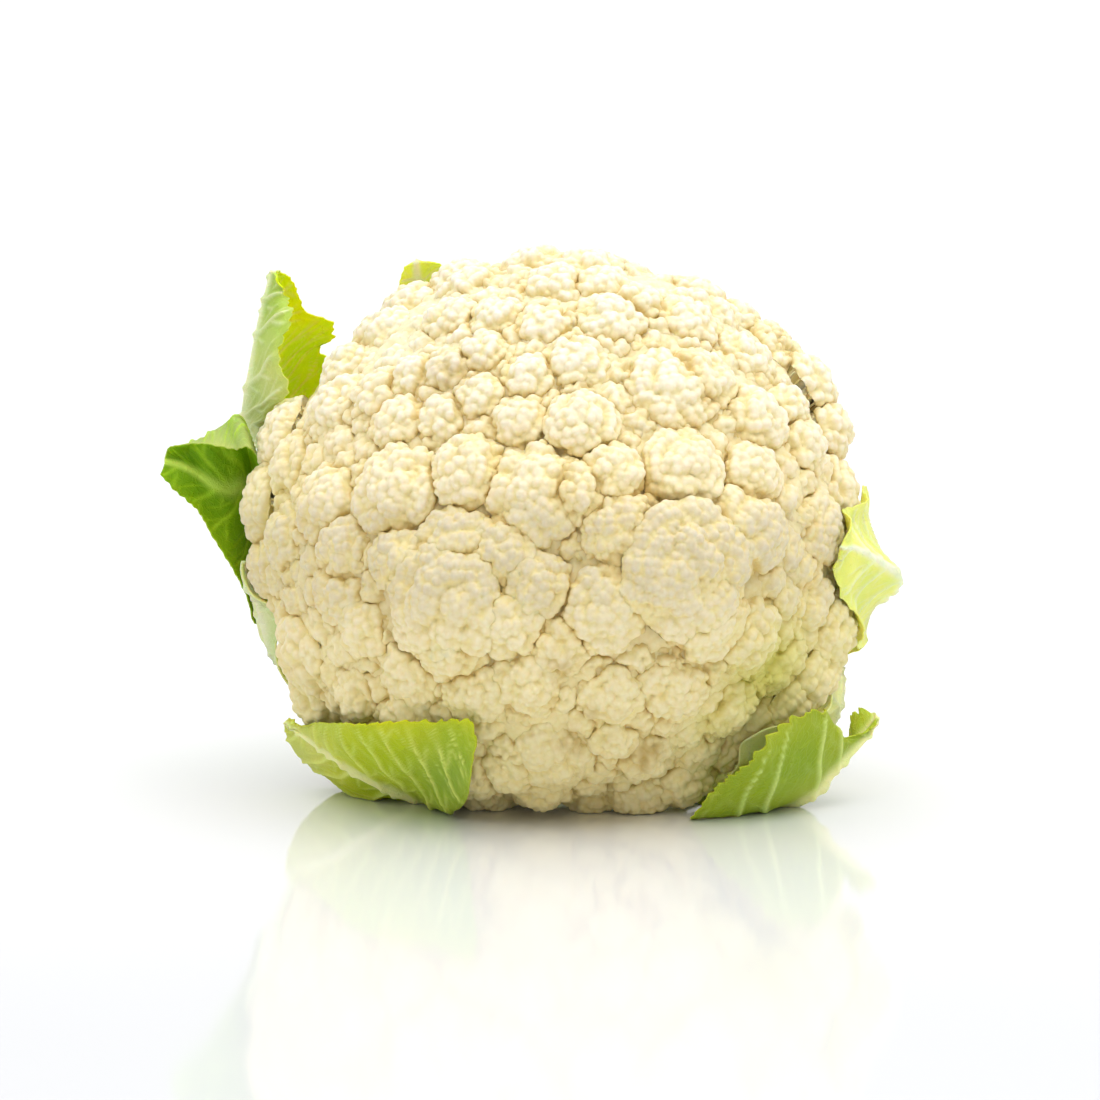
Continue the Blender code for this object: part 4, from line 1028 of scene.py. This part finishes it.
def veinField(along, aside, reachSide, forks, seed):
    # Nearness to a side vein or a fork, 1 on it and 0 away, and a wider band round the side veins. Side
    # veins leave the mid rib on lines where along - lean * aside - bend * aside^2 is a whole number of
    # steps, each a little out of place. Forks leave them at equal steps, at an angle, and fade out.
    draw = np.random.default_rng(seed)
    step = sheet["veinStep"]
    wander = 0.9 * np.sin(aside / 5 + along / 17 + draw.uniform(0, 6))
    wander = wander + 0.4 * np.sin(aside / 2.3 + along / 7)
    lean = along - sheet["veinLean"] * aside - sheet["veinBend"] * aside**2 + wander
    shift = draw.uniform(-0.22, 0.22, 60)
    place = lean / step
    low = np.floor(place)
    field = np.zeros(along.shape)
    tone = np.zeros(along.shape)
    for k in (-1, 0, 1, 2):
        at = np.clip(low + k, 0, 55).astype(int)
        gone = (place - (at + shift[at])) * step
        width = sheet["veinWidth"] * (1.05 - 0.6 * aside / reachSide)
        line = np.exp(-(gone * 0.8 / width)**2) * smoothStep(1.0, 0.85, aside / reachSide)
        field = np.maximum(field, line)
        fork = (aside - np.abs(gone) * 1.3 + 6 * shift[(at * 7 + 3) % 60]) / sheet["forkStep"]
        forkGone = (fork - np.round(fork)) * sheet["forkStep"] * 0.6
        fades = smoothStep(7.0, 5.0, np.abs(gone)) * smoothStep(1.5, 4, aside)
        branch = forks * np.exp(-(forkGone / sheet["forkWidth"])**2) * fades
        branch = branch * smoothStep(1.0, 0.85, aside / reachSide)
        field = np.maximum(field, branch)
        tone = np.maximum(tone, np.exp(-(gone * 0.8 / (2.2 * width))**2))
    return field, tone


def makeLeaf(name, leaf, seed, guards, guardRadii, material):
    # The coarse sheet kept clear of the curd, then a fine grid through it with waves, teeth and veins,
    # given a thickness on both sides and closed round its edge
    rough = keepClear(coarseSheet(leaf), guards, guardRadii, leaf["gap"])
    mid = rough.shape[1] // 2
    lengthAlong = np.linalg.norm(np.diff(rough[:, mid], axis=0), axis=1).sum()
    widths = np.linalg.norm(np.diff(rough, axis=1), axis=2).sum(1)
    step = sheet["stepBehind"] if leaf["behind"] else sheet["step"]
    rows = int(lengthAlong / step)
    columns = int(widths.max() / step) // 2 * 2 + 1
    fine = smoothCurve(rough, rows)
    fine = np.moveaxis(smoothCurve(np.moveaxis(fine, 1, 0), columns), 0, 1)
    middle = columns // 2
    v = np.linspace(-1, 1, columns)
    along = np.concatenate([[0], np.cumsum(np.linalg.norm(np.diff(fine[:, middle], axis=0), axis=1))])
    stepAside = np.linalg.norm(np.diff(fine, axis=1), axis=2)
    aside = np.concatenate([np.zeros((rows, 1)), np.cumsum(stepAside, axis=1)], axis=1)
    aside = aside - aside[:, middle:middle + 1]
    reachSide = np.where(v < 0, np.abs(aside[:, :1]), aside[:, -1:]) + 1e-3
    square = squareTo(fine)
    outside = 1.0 if (square * unit(fine)).sum() > 0 else -1.0
    share = np.linspace(0, 1, rows)[:, None]
    grown = smoothStep(*sheet["grown"], share)
    # Teeth push the rim out, waves lift it away from the head
    edgeOut = unit(np.gradient(fine, axis=1)) * np.sign(v)[None, :, None]
    for side, rim in ((-1, 0), (1, -1)):
        length = np.concatenate([[0], np.cumsum(np.linalg.norm(np.diff(fine[:, rim], axis=0), axis=1))])
        teeth = leaf["teeth"] * toothEdge(length, seed * 2 + side)[:, None] * grown
        teeth = teeth * smoothStep(1, 0.97, share)
        onSide = (np.sign(v) == side) * smoothStep(0.8, 1.0, np.abs(v))
        fine = fine + edgeOut * (teeth * onSide)[..., None]
        draw = np.random.default_rng(seed * 3 + side)
        ruffle = np.sin(length / 4.4 + draw.uniform(0, 6))
        ruffle = ruffle + 0.8 * np.sin(length / 9.5 + draw.uniform(0, 6))
        lift = leaf["wave"] * 0.6 * (1 + 0.55 * ruffle)[:, None] * grown
        lift = lift * (np.sign(v) == side) * np.abs(v)**3
        fine = fine + square * (outside * lift)[..., None]
    field, halo = veinField(along[:, None] + 4 * (v < 0), np.abs(aside), reachSide, leaf["forks"], seed)
    field, halo = field * grown, halo * grown
    fade = 1 - sheet["ribTaper"] * share
    ribWidth = sheet["ribWidth"] * fade
    rib = np.exp(-(aside / ribWidth)**2)
    puff = sheet["puff"] * (1 - halo) * smoothStep(1, 2.5, np.abs(aside))
    puff = puff * smoothStep(1.0, 0.8, np.abs(v)) * grown
    veins = sheet["veinHeight"] * field * smoothStep(1.02, 0.6, np.abs(v))
    raised = sheet["ribHeight"] * fade * rib + veins
    blade = mix(sheet["blade"], sheet["edge"], np.abs(v)[None, :] ** 2)
    pillow = puff - 0.3 * field
    square = squareTo(fine) * outside
    outer = fine + square * (blade / 2 + raised - 0.4 * pillow)[..., None]
    hollow = 0.25 * raised * (1 - rib) - blade / 2 - 0.12 * sheet["ribHeight"] * fade * rib
    inner = fine + square * hollow[..., None] - square * (0.25 * pillow)[..., None]
    points = np.concatenate([outer.reshape(-1, 3), inner.reshape(-1, 3)]) + head["centre"]
    points[:, 2] = np.maximum(points[:, 2], 0.0)
    quads = gridQuads(rows, columns)
    ring = gridRim(rows, columns)
    far = rows * columns
    rim = np.stack((ring, ring + far, np.roll(ring, -1) + far, np.roll(ring, -1)), 1)
    whole = np.concatenate([quads, quads[:, ::-1] + far, rim])
    if outside < 0:
        whole = whole[:, ::-1]
    tone = leafTone(leaf, fine, share, v, aside, rib, field, halo, seed)
    plan = np.stack((np.broadcast_to(along[:, None], aside.shape), aside), -1).reshape(-1, 2) / 100
    piece = newPiece(name + "_blade", points, whole, np.zeros((0, 3), int), material,
                     tone, np.concatenate([plan, plan]))
    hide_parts(name)
    print(name, 2 * len(whole), "triangles")


def leafTone(leaf, fine, share, v, aside, rib, field, halo, seed):
    # Outer face, then inner face: pale at the base, green towards the tip, pale along ribs and veins
    faces = []
    patch = 0.5 + 0.5 * softNoise(fine, 24, seed)[..., None]
    for key in ("outerTone", "innerTone"):
        green = mix(np.array(leaf[key]), np.array(leaf[key]) * (1.25, 1.12, 1.1), patch)
        # Patches of colour on the outer face, one of them a painted shadow
        for x, y, size, colour in leaf["shades"] if key == "outerTone" else []:
            gone = ((fine @ across - x)**2 + (fine @ viewUp - y)**2) / size**2
            green = mix(green, np.array(colour), 0.75 * np.exp(-gone)[..., None])
        base = smoothStep(sheet["paleBase"], sheet["paleBase"] * 0.35, share)[..., None]
        tone = mix(green, np.array(leaf["baseTone"]), base)
        tone = mix(tone, tone * (1.3, 1.18, 1.5), (0.35 * halo)[..., None])
        veinTone = leaf["innerVein"] if key == "innerTone" and leaf["innerVein"] else leaf["veinTone"]
        tone = mix(tone, np.array(veinTone), np.clip(field * 0.9, 0, 1)[..., None])
        ribShare = np.clip(rib**leaf["ribThin"] * 1.2, 0, 1)[..., None]
        tone = mix(tone, np.array(leaf["ribTone"]), ribShare)
        rimShare = smoothStep(0.93, 1.0, np.abs(v))[None, :, None]
        tone = mix(tone, tone * (1.25, 1.15, 1.2), rimShare * 0.6)
        faces.append(np.clip(tone, 0.005, 0.95).reshape(-1, 3))
    return np.concatenate(faces)


def makeLeaves(material):
    # The leaves stay clear of the lobes as they are before they grow sideways, and of their branches
    branches, branchRadii = branchBalls(guardCentres, guardRadii)
    guards, radii = np.concatenate([guardCentres, branches]), np.concatenate([guardRadii, branchRadii])
    for k, (name, leaf) in enumerate(leaves.items()):
        makeLeaf(name, {**plainLeaf, **leaf}, sheet["seed"] + k, guards, radii, material)


# Camera, floor and light

studio = {
    "frame": 1100,           # width of the picture, for the camera's angle
    "sensor": 36.0,
    "aimDrop": 0.00675,      # how far under the head's centre the camera aims, in metres
    "horizon": 1.1,          # brightness of the sky at its foot, above it and overhead
    "low": 0.36,
    "high": 2.0,
    "key": 2.0,              # power of the lamp, its place and its width
    "keyPlace": (0.5, -0.3, 1.1),
    "keySize": 0.7,
    "floor": (0.86, 0.87, 0.89),
    "floorGloss": 0.08,
    "floorIor": 2.6,
    "floorHalf": 6.0,        # half the floor's side, in metres
}


def makeCamera():
    # At the viewer's distance and angle, aimed a little under the head's centre
    camera = bpy.data.objects.new("camera", bpy.data.cameras.new("camera"))
    bpy.context.scene.collection.objects.link(camera)
    target = Vector(head["centre"] * mm) - Vector((0, 0, studio["aimDrop"]))
    back = Vector(toViewer)
    distance = viewer["distance"] * mm
    camera.location = target + back * distance
    camera.rotation_mode = "QUATERNION"
    camera.rotation_quaternion = back.to_track_quat("Z", "Y")
    camera.data.sensor_width = studio["sensor"]
    camera.data.lens = studio["sensor"] * distance / (studio["frame"] * viewer["step"] * mm)
    bpy.context.scene.camera = camera


def areaLight(name, place, size, power):
    # A round lamp that faces the head's centre
    light = bpy.data.objects.new(name, bpy.data.lights.new(name, "AREA"))
    light.data.shape = "DISK"
    light.data.size = size
    light.data.energy = power
    light.location = place
    light.rotation_mode = "QUATERNION"
    light.rotation_quaternion = (Vector(place) - Vector(head["centre"] * mm)).to_track_quat("Z", "Y")
    bpy.context.scene.collection.objects.link(light)


def makeStudio():
    # A sky that is bright at its foot and overhead and dim between, one soft lamp, and a glossy floor
    world = bpy.data.worlds.new("studio")
    world.use_nodes = True
    nodes, links = world.node_tree.nodes, world.node_tree.links
    place, split = nodes.new("ShaderNodeTexCoord"), nodes.new("ShaderNodeSeparateXYZ")
    ramp = nodes.new("ShaderNodeValToRGB")
    ramp.color_ramp.interpolation = "EASE"
    stops = ((0.0, "horizon"), (0.15, "horizon"), (0.27, "low"), (0.47, "low"), (0.8, "high"))
    for position, _ in stops[2:]:
        ramp.color_ramp.elements.new(position)
    for element, (position, key) in zip(ramp.color_ramp.elements, stops):
        element.position = position
        element.color = (studio[key],) * 3 + (1,)
    links.new(place.outputs["Generated"], split.inputs["Vector"])
    links.new(split.outputs["Z"], ramp.inputs["Fac"])
    links.new(ramp.outputs["Color"], nodes["Background"].inputs["Color"])
    bpy.context.scene.world = world
    bpy.context.scene.view_settings.view_transform = "Standard"
    areaLight("softKey", studio["keyPlace"], studio["keySize"], studio["key"])
    mesh = bpy.data.meshes.new("floor")
    corners = [(x * studio["floorHalf"], y * studio["floorHalf"], -0.0002)
               for x, y in ((-1, -1), (1, -1), (1, 1), (-1, 1))]
    mesh.from_pydata(corners, [], [(0, 1, 2, 3)])
    floor = bpy.data.objects.new("floor", mesh)
    bpy.context.scene.collection.objects.link(floor)
    material = bpy.data.materials.new("paleGloss")
    material.use_nodes = True
    surface = material.node_tree.nodes["Principled BSDF"]
    surface.inputs["Base Color"].default_value = studio["floor"] + (1,)
    surface.inputs["Roughness"].default_value = studio["floorGloss"]
    surface.inputs["IOR"].default_value = studio["floorIor"]
    mesh.materials.append(material)


makeCamera()
makeStudio()
creamCurd = curdMaterial()
guardCentres, guardRadii, lobeNames = headLobes()
lobeCentres, lobeRadii = widened(guardCentres, guardRadii)
gapCentres, gapRadii, gapNames = gapLobes(lobeCentres, lobeRadii)
makeCurd(np.concatenate([lobeCentres, gapCentres]), np.concatenate([lobeRadii, gapRadii]),
         lobeNames + gapNames, creamCurd)
makeStem(stemMaterial())
makeLeaves(leafMaterial())
